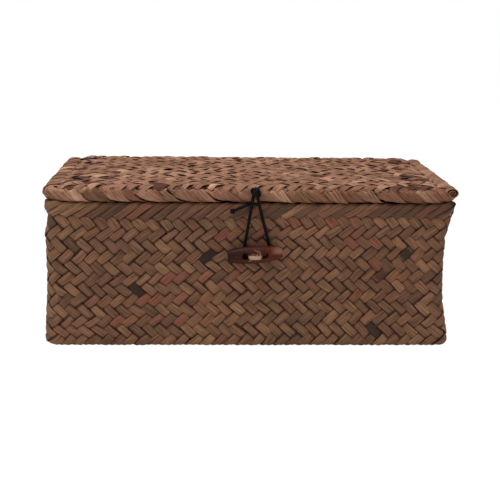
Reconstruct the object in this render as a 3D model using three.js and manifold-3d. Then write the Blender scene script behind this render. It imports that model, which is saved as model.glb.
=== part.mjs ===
// Woven lidded box: a low rectangular seagrass box, plaited in two layers round a hoop, with a lid laced on
// along the back. An elastic loop, knotted to the front of the lid, hooks behind a wooden toggle.
// Millimetres. +Z is up, +X runs along the box, and the front, with the toggle, faces -Y.
import * as THREE from "three";
import { mergeVertices } from "three/addons/utils/BufferGeometryUtils.js";
import Module from "manifold-3d";

const wasm = await Module();
wasm.setup();

// Space between pieces that touch, and how far a cutter runs past what it cuts.
const clearance = 0.3;
const overrun = 2;

// Body: the woven layers, and the rim folded over them.
const rimWidth = 301;
const rimDepth = 165;
const bodyHeight = 109;
const cornerRadius = 11;
const layerThickness = 1.8;
const baseRadius = 8;
const wallBow = 2.4;
const baseSwell = 2.2;
const foldThickness = 1.2;
const foldHeight = 11.5;
const foldRounding = 3;
const rimHoopDiameter = 3;

// Lid: two woven mats with their edges in a rolled rim, wrapped round a hoop.
const lidOverhang = 1.2;
const lidCornerRadius = 11;
const matThickness = 2.2;
const matReach = 5;
const matDome = 1;
const rollThickness = 1.4;
const rollReach = 13;
const rollRounding = 4.5;
const lidHoopDiameter = 3.6;

// Twine lacings that hinge the lid on the back of the rim.
const tieCount = 4;
const tieInset = 45;
const tieThickness = 1.8;
const tieWidth = 3.6;
const tieBend = 2;
const tieBite = 2.7;

// Toggle: a turned wooden spindle, flattened front to back and blunter at its left end, on a loop of twine.
const toggleX = 2.8;
const toggleDrop = 37.3;
const toggleLength = 40;
const toggleHeight = 13;
const toggleDepth = 10;
const toggleLeftEnd = 9;
const toggleRightEnd = 6.6;
const toggleTilt = 3.7;
const holeSpacing = 13.8;
const holeDiameter = 5.2;
const threadThickness = 1.7;
const threadHeight = 3.6;
const threadInset = 1;
const threadBend = 1.4;
const threadKnotRadius = 2.4;

// Elastic cord: its thickness, its knot on the lid and the stopper knot on its loose end.
const cordDiameter = 2;
const cordKnotWidth = 7.4;
const cordKnotDepth = 6.4;
const cordKnotHeight = 5.6;
const cordKnotRise = 0.6;
const tailKnotLength = 4.2;
const tailKnotDiameter = 3.6;

// How finely round shapes are cut into flats.
const cornerSteps = 5;
const bendSteps = 4;
const wallSteps = 7;
const toggleSteps = 12;
const toggleSides = 20;
const holeSides = 20;
const cordSides = 8;
const cordSegments = 40;
const leadSegments = 4;
const tailSegments = 14;
const twineSides = 8;
const loopSteps = 2;
const knotSides = 12;

// Body sizes that follow from the ones above.
const foldWidth = 2 * foldThickness + 2 * layerThickness + 3 * clearance;
const foldBottom = bodyHeight - foldHeight;
const rimHoopHeight = bodyHeight - foldThickness - clearance - rimHoopDiameter / 2;
const wallTop = rimHoopHeight - rimHoopDiameter / 2 - clearance;
const layerPitch = layerThickness + clearance;

// Lid sizes that follow.
const lidWidth = rimWidth + 2 * lidOverhang;
const lidDepth = rimDepth + lidOverhang;
const lidBottom = bodyHeight + clearance;
const lidHoopHeight = lidBottom + rollThickness + clearance + lidHoopDiameter / 2;
const underMatBottom = lidHoopHeight + lidHoopDiameter / 2 + clearance;
const topMatBottom = underMatBottom + matThickness + clearance;
const lidTop = topMatBottom + matThickness + clearance + rollThickness;
const lidHoopInset = rollThickness + cordDiameter + 2 * clearance + lidHoopDiameter / 2;
const lidFront = -rimDepth / 2 - lidOverhang;

// Toggle places that follow.
const toggleZ = bodyHeight - toggleDrop;
const toggleGap = cordDiameter + 3 * clearance;

// A plan is a rectangle with round corners, told by where the corners' centres lie.
function plan(width, depth, radius) {
  return { spanX: width / 2 - radius, spanY: depth / 2 - radius };
}

const bodyPlan = plan(rimWidth, rimDepth, cornerRadius);
const lidPlan = plan(lidWidth, lidDepth, lidCornerRadius);

function point(radius, height) {
  return new THREE.Vector2(radius, height);
}

// Points of an arc in a profile, from one angle to another, in quarter turns.
function arc(centreRadius, centreHeight, radius, from, to, steps = bendSteps) {
  const points = [];
  for (let i = 0; i <= steps; i += 1) {
    const angle = ((from + ((to - from) * i) / steps) * Math.PI) / 2;
    const out = centreRadius + radius * Math.cos(angle);
    points.push(point(out, centreHeight + radius * Math.sin(angle)));
  }
  return points;
}

// Turns a profile about Z, then pulls the turned piece apart so that its quarters become a plan's corners.
// A radius below zero lies inside the corner's centre, where the plan's corner is sharp. At minus the
// plan's spanY the two long sides meet in a ridge, so a profile that starts and ends there is closed.
function turnedBox(profile, { spanX, spanY }, steps = cornerSteps) {
  const sides = 4 * steps;
  const half = Math.PI / sides;
  const round = profile.map((p) => point(Math.max(p.x, 0) / Math.cos(half), p.y));
  const geometry = new THREE.LatheGeometry(round, sides, half);
  geometry.rotateX(Math.PI / 2);
  const places = geometry.getAttribute("position");
  for (let i = 0; i < places.count; i += 1) {
    const angle = half + 2 * half * Math.floor(i / profile.length);
    const inward = Math.min(profile[i % profile.length].x, 0);
    const x = Math.sign(Math.sin(angle)) * (spanX + inward);
    const y = Math.sign(-Math.cos(angle)) * (spanY + inward);
    places.setXY(i, places.getX(i) + x, places.getY(i) + y);
  }
  return geometry;
}

// A closed ring of elliptical section, along a rectangle with round corners.
function loopRing(width, depth, bend, across, along, steps = loopSteps) {
  const section = [];
  for (let i = 0; i <= twineSides; i += 1) {
    const angle = (i / twineSides) * 2 * Math.PI;
    section.push(point(bend + (across / 2) * Math.cos(angle), (along / 2) * Math.sin(angle)));
  }
  section[twineSides].copy(section[0]);
  return turnedBox(section, plan(width, depth, bend), steps);
}

// A round bar along a plan: the radius of its centre line and its height.
function hoop(spans, radius, height, diameter) {
  const section = arc(radius, height, diameter / 2, 0, 4, twineSides);
  section[twineSides].copy(section[0]);
  return turnedBox(section, spans);
}

// A solid tube through a cord's points.
function tube(route, diameter, segments) {
  const section = new THREE.Shape();
  for (let i = 0; i < cordSides; i += 1) {
    const angle = (i / cordSides) * 2 * Math.PI;
    const x = (diameter / 2) * Math.cos(angle);
    const y = (diameter / 2) * Math.sin(angle);
    if (i === 0) section.moveTo(x, y);
    else section.lineTo(x, y);
  }
  const extrudePath = new THREE.CatmullRomCurve3(route);
  return new THREE.ExtrudeGeometry(section, { steps: segments, extrudePath });
}

function ellipsoid(width, depth, height) {
  const ball = new THREE.SphereGeometry(1, knotSides, knotSides / 2);
  return ball.scale(width / 2, depth / 2, height / 2);
}

// The same surface as a manifold-3d solid, and back.
function solid(geometry) {
  const bare = geometry.clone();
  bare.deleteAttribute("normal");
  bare.deleteAttribute("uv");
  const merged = mergeVertices(bare);
  const vertProperties = new Float32Array(merged.getAttribute("position").array);
  const triVerts = new Uint32Array(merged.index.array);
  return new wasm.Manifold(new wasm.Mesh({ numProp: 3, vertProperties, triVerts }));
}

function surface(body) {
  const mesh = body.getMesh();
  const geometry = new THREE.BufferGeometry();
  geometry.setAttribute("position", new THREE.BufferAttribute(mesh.vertProperties, 3));
  geometry.setIndex(new THREE.BufferAttribute(mesh.triVerts, 1));
  return geometry;
}

// A piece with each cutter's solid taken out of it.
function cut(geometry, cutters) {
  let body = solid(geometry);
  for (const cutter of cutters) body = body.subtract(solid(cutter));
  return surface(body);
}

// Outer face of the outer layer, as a radius from the corner's centre: swollen at the base, drawn in at
// half height and straight under the folded rim.
function wallRadius(height) {
  const share = Math.min(height / foldBottom, 1);
  const swell = baseSwell * (1 - share);
  const bow = wallBow * Math.sin(Math.PI * share);
  return cornerRadius - foldThickness - clearance + swell - bow;
}

// One face of a woven layer, from the floor up, a distance inside the outer layer's outer face.
function wallSide(inset) {
  const bend = baseRadius - inset;
  const centre = wallRadius(baseRadius) - baseRadius;
  const points = arc(centre, baseRadius, bend, -1, 0);
  for (let i = 1; i <= wallSteps; i += 1) {
    const height = baseRadius + ((foldBottom - baseRadius) * i) / wallSteps;
    points.push(point(wallRadius(height) - inset, height));
  }
  points.push(point(wallRadius(wallTop) - inset, wallTop));
  return points;
}

// A woven layer, closed at the floor and open at the top.
function wovenLayer(inset) {
  const outside = wallSide(inset);
  const inside = wallSide(inset + layerThickness).reverse();
  const ridge = -bodyPlan.spanY;
  const profile = [point(ridge, inset), ...outside, ...inside, point(ridge, inset + layerThickness)];
  return turnedBox(profile, bodyPlan);
}

// Strips folded over the hoop and down both faces of the wall: an upturned channel.
function rimFold() {
  const outer = cornerRadius;
  const inner = cornerRadius - foldWidth;
  const crown = bodyHeight - foldRounding;
  const lining = foldRounding - foldThickness;
  const profile = [
    point(outer, foldBottom),
    ...arc(outer - foldRounding, crown, foldRounding, 0, 1),
    ...arc(inner + foldRounding, crown, foldRounding, 1, 2),
    point(inner, foldBottom),
    point(inner + foldThickness, foldBottom),
    ...arc(inner + foldRounding, crown, lining, 2, 1),
    ...arc(outer - foldRounding, crown, lining, 1, 0),
    point(outer - foldThickness, foldBottom),
    point(outer, foldBottom),
  ];
  return turnedBox(profile, bodyPlan);
}

// The lid's rolled rim: a channel round the mats' edges, open towards the middle of the lid.
function rolledRim() {
  const outer = lidCornerRadius;
  const lip = outer - rollReach;
  const centre = outer - rollRounding;
  const low = lidBottom + rollRounding;
  const high = lidTop - rollRounding;
  const lining = rollRounding - rollThickness;
  const profile = [
    point(lip, lidBottom),
    ...arc(centre, low, rollRounding, -1, 0),
    ...arc(centre, high, rollRounding, 0, 1),
    point(lip, lidTop),
    point(lip, lidTop - rollThickness),
    ...arc(centre, high, lining, 1, 0),
    ...arc(centre, low, lining, 0, -1),
    point(lip, lidBottom + rollThickness),
    point(lip, lidBottom),
  ];
  return turnedBox(profile, lidPlan);
}

// A mat of the lid, domed from its edge inside the rolled rim up to the ridge along the middle.
function lidMat(bottom) {
  const edge = lidCornerRadius - rollReach + matReach;
  const ridge = -lidPlan.spanY;
  const top = bottom + matThickness;
  const profile = [
    point(ridge, bottom + matDome),
    point(edge, bottom),
    point(edge, top),
    point(ridge, top + matDome),
  ];
  return turnedBox(profile, lidPlan);
}

function lidPiece(geometry) {
  return geometry.translate(0, -lidOverhang / 2, 0);
}

// Lacings: twine round both hoops, through the rolled rim above and the wall below.
const tieOuter = rimDepth / 2 + clearance + tieThickness / 2;
const tieSpan = Math.max(foldWidth, lidHoopInset + lidHoopDiameter / 2);
const tieInner = rimDepth / 2 - tieSpan - clearance - tieThickness / 2;
const tieLow = wallTop - tieBite;
const tieHigh = lidHoopHeight + lidHoopDiameter / 2 + clearance + tieThickness / 2;
const tiePlaces = [];
for (let i = 0; i < tieCount; i += 1) {
  tiePlaces.push(tieInset - rimWidth / 2 + ((rimWidth - 2 * tieInset) * i) / (tieCount - 1));
}

// The lacing's ring stands in the YZ plane, so what is its width lies along Z.
function lacing(x, spare) {
  const height = tieHigh - tieLow;
  const depth = tieOuter - tieInner;
  const ring = loopRing(height, depth, tieBend, tieThickness + spare, tieWidth + spare);
  ring.rotateY(Math.PI / 2);
  return ring.translate(x, (tieOuter + tieInner) / 2, (tieHigh + tieLow) / 2);
}

const tieChannels = tiePlaces.map((x) => lacing(x, 2 * clearance));

// Toggle, lying along X: its section grows from the cut ends to the middle as a parabola.
const toggleWall = -bodyPlan.spanY - wallRadius(toggleZ);
const toggleY = toggleWall - toggleGap - toggleDepth / 2;

function spindle() {
  const profile = [point(0, -toggleLength / 2)];
  for (let i = 0; i <= toggleSteps; i += 1) {
    const share = (2 * i) / toggleSteps - 1;
    const end = share < 0 ? toggleLeftEnd : toggleRightEnd;
    const radius = end / 2 + ((toggleHeight - end) / 2) * (1 - share * share);
    profile.push(point(radius, (share * toggleLength) / 2));
  }
  profile.push(point(0, toggleLength / 2));
  const turned = new THREE.LatheGeometry(profile, toggleSides);
  turned.rotateZ(-Math.PI / 2);
  return turned.scale(1, toggleDepth / toggleHeight, 1);
}

function toggleHole(x) {
  const bore = new THREE.CylinderGeometry(
    holeDiameter / 2,
    holeDiameter / 2,
    toggleDepth + overrun,
    holeSides,
  );
  return bore.translate(x, 0, 0);
}

function toggle() {
  const holes = [toggleHole(-holeSpacing / 2), toggleHole(holeSpacing / 2)];
  const button = cut(spindle(), holes);
  button.rotateY(-THREE.MathUtils.degToRad(toggleTilt));
  return button.translate(toggleX, toggleY, toggleZ);
}

// Twine loop through the toggle's holes and the front wall, tied off inside the box.
const threadFront = toggleY - toggleDepth / 2 - clearance - threadThickness / 2;
const threadBack = toggleWall + 2 * layerPitch + threadThickness / 2;
const threadLength = threadBack - threadFront;

function thread(spare) {
  const across = threadThickness + spare;
  const span = holeSpacing - 2 * threadInset;
  const ring = loopRing(span, threadLength, threadBend, across, threadHeight + spare);
  return ring.translate(toggleX, (threadFront + threadBack) / 2, toggleZ);
}

function threadKnot() {
  const y = threadBack + threadThickness / 2 + clearance + threadKnotRadius;
  const knot = ellipsoid(2 * threadKnotRadius, 2 * threadKnotRadius, 2 * threadKnotRadius);
  return knot.translate(toggleX, y, toggleZ);
}

// Cord routes, from the toggle's X and the box's middle plane: points chosen by hand.
function route(places) {
  return places.map(([x, y, z]) => new THREE.Vector3(toggleX + x, y, z));
}

const leftLead = route([
  [-1.7, -86.1, 114.5],
  [-2.1, -85.6, 111],
  [-2.6, -85.15, 108],
]);
const rightLead = route([
  [1.7, -86.1, 114.5],
  [2.1, -85.6, 111],
  [2.7, -85.15, 108],
]);
const loopRoute = route([
  [-2.6, -85.15, 107.7],
  [-4.2, -84.4, 98],
  [-5.8, -83.2, 87],
  [-7.2, -82.1, 79],
  [-8.2, -81.5, 73.6],
  [-8.1, -81.3, 70.2],
  [-6.4, -81.25, 67.8],
  [-3.6, -81.25, 67],
  [0.6, -81.25, 66.9],
  [5.0, -81.25, 67],
  [8.2, -81.25, 67.8],
  [10.3, -81.3, 70.2],
  [10.8, -81.5, 73.6],
  [10.0, -82.1, 79],
  [8.0, -83.2, 87],
  [5.2, -84.4, 98],
  [2.7, -85.15, 107.7],
]);
const tailRoute = route([
  [0, -83.6, 117.4],
  [-0.2, -81.7, 116.6],
  [-0.8, -80.9, 114.4],
  [-1.8, -80.9, 112.4],
  [-3.2, -81.8, 110.6],
  [-4.9, -83.1, 109.6],
  [-7.2, -84.4, 108.6],
  [-10.3, -85.1, 107.2],
  [-13.6, -85.0, 105.6],
  [-16.2, -84.7, 104.3],
]);

// Round knot of the cord, seated on the rounding of the lid's rolled rim.
function lidKnot() {
  const seat = rollRounding + clearance + cordKnotDepth / 2;
  const y = lidFront + rollRounding - Math.sqrt(seat * seat - cordKnotRise * cordKnotRise);
  const knot = ellipsoid(cordKnotWidth, cordKnotDepth, cordKnotHeight);
  return knot.translate(toggleX, y, lidTop - rollRounding + cordKnotRise);
}

// Stopper knot, in line with the end of the tail.
function tailKnot() {
  const end = tailRoute[tailRoute.length - 1];
  const before = tailRoute[tailRoute.length - 2];
  const along = end.clone().sub(before).normalize();
  const knot = ellipsoid(tailKnotDiameter, tailKnotDiameter, tailKnotLength);
  const turn = new THREE.Quaternion().setFromUnitVectors(new THREE.Vector3(0, 0, 1), along);
  knot.applyQuaternion(turn);
  const centre = end.clone().addScaledVector(along, clearance + tailKnotLength / 2);
  return knot.translate(centre.x, centre.y, centre.z);
}

const finishes = {
  seagrass: { color: 0x6b4d38, roughness: 0.8, metalness: 0 },
  lining: { color: 0x7a5c43, roughness: 0.85, metalness: 0 },
  cane: { color: 0xa9855a, roughness: 0.7, metalness: 0 },
  twine: { color: 0xb49a78, roughness: 0.9, metalness: 0 },
  wood: { color: 0x5a2416, roughness: 0.35, metalness: 0 },
  elastic: { color: 0x101012, roughness: 0.75, metalness: 0 },
};

const box = new THREE.Group();
box.name = "woven_lidded_box";
const cords = new THREE.Group();

function add(group, name, geometry, finish) {
  const mesh = new THREE.Mesh(geometry, new THREE.MeshStandardMaterial(finishes[finish]));
  mesh.name = name;
  group.add(mesh);
}

const threadChannel = thread(2 * clearance);
const wallCutters = [...tieChannels, threadChannel];
add(box, "outer_basket", cut(wovenLayer(0), wallCutters), "seagrass");
add(box, "inner_basket", cut(wovenLayer(layerPitch), wallCutters), "lining");
add(box, "body_rim_fold", cut(rimFold(), tieChannels), "seagrass");
const rimHoopRadius = cornerRadius - foldWidth / 2;
add(box, "body_rim_hoop", hoop(bodyPlan, rimHoopRadius, rimHoopHeight, rimHoopDiameter), "cane");

const tailChannel = tube(tailRoute, cordDiameter + 2 * clearance, tailSegments);
const rollCutters = [...tieChannels, tailChannel];
add(box, "lid_rim_fold", cut(lidPiece(rolledRim()), rollCutters), "seagrass");
add(box, "lid_top_mat", cut(lidPiece(lidMat(topMatBottom)), tieChannels), "seagrass");
add(box, "lid_under_mat", cut(lidPiece(lidMat(underMatBottom)), tieChannels), "lining");
const lidHoopRadius = lidCornerRadius - lidHoopInset;
const lidHoop = hoop(lidPlan, lidHoopRadius, lidHoopHeight, lidHoopDiameter);
add(box, "lid_rim_hoop", lidPiece(lidHoop), "cane");

tiePlaces.forEach((x, i) => add(box, `hinge_tie_${i + 1}`, lacing(x, 0), "twine"));
add(box, "toggle_button", toggle(), "wood");
add(box, "toggle_thread", thread(0), "twine");
add(box, "toggle_thread_knot", threadKnot(), "twine");

add(cords, "cord_knot", lidKnot(), "elastic");
add(cords, "cord_left_lead", tube(leftLead, cordDiameter, leadSegments), "elastic");
add(cords, "cord_right_lead", tube(rightLead, cordDiameter, leadSegments), "elastic");
add(cords, "cord_loop", tube(loopRoute, cordDiameter, cordSegments), "elastic");
add(cords, "cord_tail", tube(tailRoute, cordDiameter, tailSegments), "elastic");
add(cords, "cord_tail_knot", tailKnot(), "elastic");

// The origin is on the floor, midway between the toggle's front and the lacings' back.
const reach = new THREE.Box3().setFromObject(box, true);
const part = new THREE.Group();
part.add(box, cords);
part.position.set(0, -(reach.min.y + reach.max.y) / 2, 0);

export default part;
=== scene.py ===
import math

import bmesh
import bpy
import numpy as np
from bpy.props import FloatProperty, FloatVectorProperty, IntProperty, PointerProperty
from mathutils import Matrix, Vector


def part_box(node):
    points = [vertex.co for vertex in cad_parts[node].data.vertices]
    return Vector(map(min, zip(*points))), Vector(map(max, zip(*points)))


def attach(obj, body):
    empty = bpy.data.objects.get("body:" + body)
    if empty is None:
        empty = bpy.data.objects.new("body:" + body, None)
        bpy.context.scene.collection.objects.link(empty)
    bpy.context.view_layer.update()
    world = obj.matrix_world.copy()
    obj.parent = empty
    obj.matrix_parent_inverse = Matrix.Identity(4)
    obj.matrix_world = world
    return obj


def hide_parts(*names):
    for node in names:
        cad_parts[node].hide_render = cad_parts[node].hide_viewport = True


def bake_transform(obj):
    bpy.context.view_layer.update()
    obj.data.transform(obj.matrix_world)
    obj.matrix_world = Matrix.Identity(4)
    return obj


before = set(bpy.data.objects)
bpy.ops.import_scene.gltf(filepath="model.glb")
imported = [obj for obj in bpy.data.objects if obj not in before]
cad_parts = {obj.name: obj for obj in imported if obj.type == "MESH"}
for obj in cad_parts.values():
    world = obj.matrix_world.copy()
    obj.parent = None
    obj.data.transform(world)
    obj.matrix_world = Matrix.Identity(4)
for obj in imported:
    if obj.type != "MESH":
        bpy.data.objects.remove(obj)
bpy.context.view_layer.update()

bl_info = {
    "name": "Woven Lidded Box",
    "version": (1, 0, 0),
    "blender": (4, 5, 0),
    "location": "View3D > Sidebar > Woven Box",
    "description": "Plaits a seagrass box with a laced lid, an elastic loop and a wooden toggle",
    "category": "Add Mesh",
}

MM = 0.001

# The photograph: its size in pixels, and the pixels that the lens sees across one metre at one metre.
PHOTO_SIZE = 500
PHOTO_FOCAL = 1100.0
CAMERA_PLACE = Vector((-31.8, -861.9, 247.6)) * MM
CAMERA_PITCH = math.radians(12.47)
CAMERA_YAW = math.radians(2.27)
CAMERA_ROLL = math.radians(0.72)
SENSOR_WIDTH = 36.0

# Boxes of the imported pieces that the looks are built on.
RIM_LOW, RIM_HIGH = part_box("body_rim_fold")
WALL_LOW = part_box("outer_basket")[0]
LINING_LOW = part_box("inner_basket")[0]
LID_LOW, LID_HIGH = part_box("lid_rim_fold")
UNDER_MAT_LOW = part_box("lid_under_mat")[0]
TOGGLE_LOW, TOGGLE_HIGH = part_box("toggle_button")
THREAD_LOW, THREAD_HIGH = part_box("toggle_thread")
MIDDLE_Y = (RIM_LOW.y + RIM_HIGH.y) / 2
LID_MIDDLE_Y = (LID_LOW.y + LID_HIGH.y) / 2

# Plan of the body and the lid: where the round corners have their centres.
CORNER_RADIUS = 11 * MM
BODY_SPAN = (RIM_HIGH.x - CORNER_RADIUS, (RIM_HIGH.y - RIM_LOW.y) / 2 - CORNER_RADIUS)
LID_CORNER = 9 * MM
LID_SPAN = (LID_HIGH.x - LID_CORNER, (LID_HIGH.y - LID_LOW.y) / 2 - LID_CORNER)

# Side of a wall, from the CAD: swollen at the base, drawn in at half height, straight under the rim.
FOLD_BOTTOM = RIM_LOW.z
FOLD_THICKNESS = 1.2 * MM
CLEARANCE = 0.3 * MM
BASE_RADIUS = 4 * MM
WALL_BOW = 2.4 * MM
BASE_SWELL = 2.2 * MM
WALL_LEAN = 2.9 * MM
FOOT_BULGE = 2.0 * MM
LAYER_THICKNESS = 1.8 * MM
OUTER_MIDDLE = LAYER_THICKNESS / 2
INNER_MIDDLE = OUTER_MIDDLE + LINING_LOW.z - WALL_LOW.z


def written(red, green, blue):
    """A colour as it is written for the screen, from 0 to 255, in scene linear values."""
    return tuple(
        c / 12.92 if c <= 0.04045 else ((c + 0.055) / 1.055) ** 2.4
        for c in (red / 255, green / 255, blue / 255)
    )


def length(name, description, default):
    return FloatProperty(
        name=name, description=description, default=default,
        min=0.0, precision=5, subtype="DISTANCE", unit="LENGTH",
    )


def colour(name, description, red, green, blue):
    return FloatVectorProperty(
        name=name, description=description, default=written(red, green, blue),
        size=3, min=0.0, max=1.0, subtype="COLOR",
    )


class WovenBoxSizes(bpy.types.PropertyGroup):
    """Sizes of the strips, the cords and the twine."""

    strips_round: IntProperty(
        name="Strips round the box", description="How many strips of each slant go round the body",
        default=97, min=8, subtype="UNSIGNED",
    )
    row_height: length("Row height", "Height that one crossing of two strips takes up", 4.04 * MM)
    strip_share: FloatProperty(
        name="Strip width share", description="Width of a strip as a share of the space between strips",
        default=0.97, min=0.5, max=1.0, subtype="FACTOR",
    )
    strip_thickness: length("Strip thickness", "Thickness of one seagrass strip", 0.5 * MM)
    strip_lift: length("Strip lift", "How far a strip rises over and sinks under the others", 0.75 * MM)
    strip_crown: length("Strip crown", "How far a strip's edges curl down from its middle", 0.55 * MM)
    lid_pitch: length("Lid pitch", "Space along the lid between strips of one slant", 9.6 * MM)
    lid_lift: length("Lid strip lift", "How far the lid's strips rise and sink", 0.7 * MM)
    wrap_pitch: length("Wrap pitch", "Space along the lid's rim between its wraps", 13.4 * MM)
    cord_diameter: length("Cord diameter", "Thickness of the elastic cord", 2.2 * MM)
    twine_diameter: length("Twine diameter", "Thickness of the lacing twine", 1.8 * MM)


class WovenBoxColours(bpy.types.PropertyGroup):
    """Colours of the strips, the wood, the cord and the stage."""

    strip_dark: colour("Dark strip", "Darkest of the olive brown strips", 80, 58, 41)
    strip_mid: colour("Middle strip", "Usual brown of the body's strips", 115, 82, 58)
    strip_light: colour("Light strip", "Tan of the palest strips", 140, 104, 73)
    strip_red: colour("Red strip", "Strips that dried red", 122, 72, 54)
    strip_stain: colour("Stained strip", "Strips that dried nearly black", 33, 21, 18)
    # Painted shade: the colour painted where a strip dives under the others, along its edges and in its
    # splits.
    strip_painted_shade: colour("Shaded strip", "Where a strip runs under the others", 44, 23, 17)
    lid_mid: colour("Lid strip", "Usual brown of the lid's strips", 138, 101, 80)
    lid_light: colour("Light lid strip", "Palest of the lid's strips", 182, 139, 111)
    wood_dark: colour("Dark wood", "Dark figure of the toggle's wood", 36, 16, 12)
    wood_light: colour("Light wood", "Light figure of the toggle's wood", 80, 32, 16)
    # Painted highlight: the pale colour painted on top of the toggle's slim end.
    wood_highlight: colour("Worn wood", "Worn patch on the toggle's slim end", 150, 108, 88)
    elastic: colour("Elastic", "Black of the elastic cord", 9, 9, 10)
    twine: colour("Twine", "Pale twine of the toggle and the lacings", 196, 160, 132)
    cane: colour("Cane", "Hoops inside the rims", 178, 146, 104)
    floor: colour("Floor", "Floor and backdrop", 240, 240, 240)


def sizes():
    return bpy.context.scene.woven_box_sizes


def colours():
    return bpy.context.scene.woven_box_colours


# Materials


class Nodes:
    """The node tree of a material or a world, with one short call for each node."""

    def __init__(self, owner, output="ShaderNodeOutputMaterial"):
        owner.use_nodes = True
        self.owner = owner
        self.tree = owner.node_tree
        self.tree.nodes.clear()
        self.output = self.add(output)

    def add(self, kind, inputs=None, **settings):
        node = self.tree.nodes.new(kind)
        for key, value in settings.items():
            setattr(node, key, value)
        for socket, value in (inputs or {}).items():
            self.feed(value, node.inputs[socket])
        return node

    def feed(self, value, socket):
        """Links another node's output to a socket, or writes a number, a vector or a colour on it."""
        if isinstance(value, bpy.types.NodeSocket):
            self.tree.links.new(value, socket)
        elif socket.type == "RGBA":
            socket.default_value = (*value[:3], 1.0)
        else:
            socket.default_value = value

    def math(self, operation, *values):
        return self.add("ShaderNodeMath", dict(enumerate(values)), operation=operation).outputs[0]

    def mix(self, factor, first, second, blend="MIX"):
        inputs = {0: factor, 6: first, 7: second}
        return self.add("ShaderNodeMix", inputs, data_type="RGBA", blend_type=blend).outputs[2]

    def noise(self, vector, scale, detail=2.0, roughness=0.5):
        """Noise at one scale, or stretched by three."""
        if isinstance(scale, tuple):
            vector = self.add("ShaderNodeMapping", {"Vector": vector, "Scale": scale}).outputs["Vector"]
            scale = 1.0
        inputs = {"Vector": vector, "Scale": scale, "Detail": detail, "Roughness": roughness}
        return self.add("ShaderNodeTexNoise", inputs).outputs["Fac"]

    def spread(self, value, low, high, start=0.0, end=1.0):
        inputs = {"Value": value, "From Min": low, "From Max": high, "To Min": start, "To Max": end}
        return self.add("ShaderNodeMapRange", inputs).outputs["Result"]

    def ramp(self, value, stops):
        node = self.add("ShaderNodeValToRGB", {"Fac": value})
        elements = node.color_ramp.elements
        while len(elements) < len(stops):
            elements.new(0.5)
        for element, (place, shade) in zip(elements, stops):
            element.position = place
            element.color = (*shade[:3], 1.0)
        return node.outputs["Color"]

    def bump(self, height, distance, strength):
        inputs = {"Height": height, "Distance": distance, "Strength": strength}
        return self.add("ShaderNodeBump", inputs).outputs["Normal"]

    def blend(self, factor, first, second):
        """Mixes two shaders, and shows what comes of it."""
        inputs = {0: factor, 1: first.outputs[0], 2: second.outputs[0]}
        mixed = self.add("ShaderNodeMixShader", inputs)
        self.feed(mixed.outputs[0], self.output.inputs["Surface"])

    def surface(self, shade, roughness, normal, gloss=0.5):
        inputs = {"Base Color": shade, "Roughness": roughness, "Normal": normal}
        shader = self.add("ShaderNodeBsdfPrincipled", {**inputs, "Specular IOR Level": gloss})
        self.feed(shader.outputs[0], self.output.inputs["Surface"])
        return self.owner


def seagrass_material(name, dark, middle, light, dive_shade_share, gloss):
    """Dried seagrass: each strip has its own tone, with fibres along it, and painted shade in its splits,
    along its edges and where it dives.
    """
    nodes = Nodes(bpy.data.materials.new(name))
    tint = colours()
    place = nodes.add("ShaderNodeUVMap", uv_map="strip").outputs[0]
    marks = nodes.add("ShaderNodeAttribute", attribute_name="tone").outputs
    tone, red, stain = nodes.add("ShaderNodeSeparateColor", {0: marks["Color"]}).outputs
    blotch = nodes.noise(place, (55.0, 0.9, 1.0))
    fibre = nodes.noise(place, (60.0, 8.0, 1.0), 4.0, 0.65)
    streak = nodes.noise(place, (28.0, 6.0, 1.0))
    painted_split_shade = nodes.noise(place, (40.0, 7.0, 1.0), 1.0)
    shade = nodes.math("ADD", tone, nodes.spread(blotch, 0.3, 0.7, -0.2, 0.2))
    base = nodes.ramp(shade, [(0.0, dark), (0.5, middle), (1.0, light)])
    base = nodes.mix(red, base, tint.strip_red)
    base = nodes.mix(nodes.spread(streak, 0.56, 0.74, 0.0, 0.38), base, tint.strip_red)
    # Painted shade: thin dark lines where a strip's fibres split apart.
    base = nodes.mix(nodes.spread(painted_split_shade, 0.62, 0.68, 0.0, 0.65), base, tint.strip_painted_shade)
    base = nodes.mix(stain, base, tint.strip_stain)
    fine = nodes.spread(fibre, 0.3, 0.7, 0.48, 1.46)
    grey = nodes.add("ShaderNodeCombineColor", {0: fine, 1: fine, 2: fine}).outputs[0]
    base = nodes.mix(1.0, base, grey, "MULTIPLY")
    # Painted shade along each strip's edges, where it meets its neighbours.
    across = nodes.math("FRACT", nodes.add("ShaderNodeSeparateXYZ", {0: place}).outputs[1])
    edge = nodes.math("ABSOLUTE", nodes.math("SUBTRACT", across, 0.5))
    base = nodes.mix(nodes.spread(edge, 0.44, 0.5, 0.0, 0.5), base, tint.strip_painted_shade)
    # Painted shade where the strip dives under the others, read from the alpha of its tone attribute.
    base = nodes.mix(nodes.spread(marks["Alpha"], 0.52, 0.72, dive_shade_share, 0.0), base, tint.strip_painted_shade)
    rough = nodes.spread(fibre, 0.3, 0.7, 0.6, 0.8)
    height = nodes.math("ADD", fibre, nodes.math("MULTIPLY", streak, 0.6))
    return nodes.surface(base, rough, nodes.bump(height, 0.2 * MM, 0.8), gloss)


def body_seagrass():
    tint = colours()
    shades = tint.strip_dark, tint.strip_mid, tint.strip_light
    return seagrass_material("seagrass_body", *shades, dive_shade_share=0.85, gloss=0.22)


def lid_seagrass():
    tint = colours()
    shades = tint.strip_mid, tint.lid_mid, tint.lid_light
    return seagrass_material("seagrass_lid", *shades, dive_shade_share=0.68, gloss=0.1)


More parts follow.
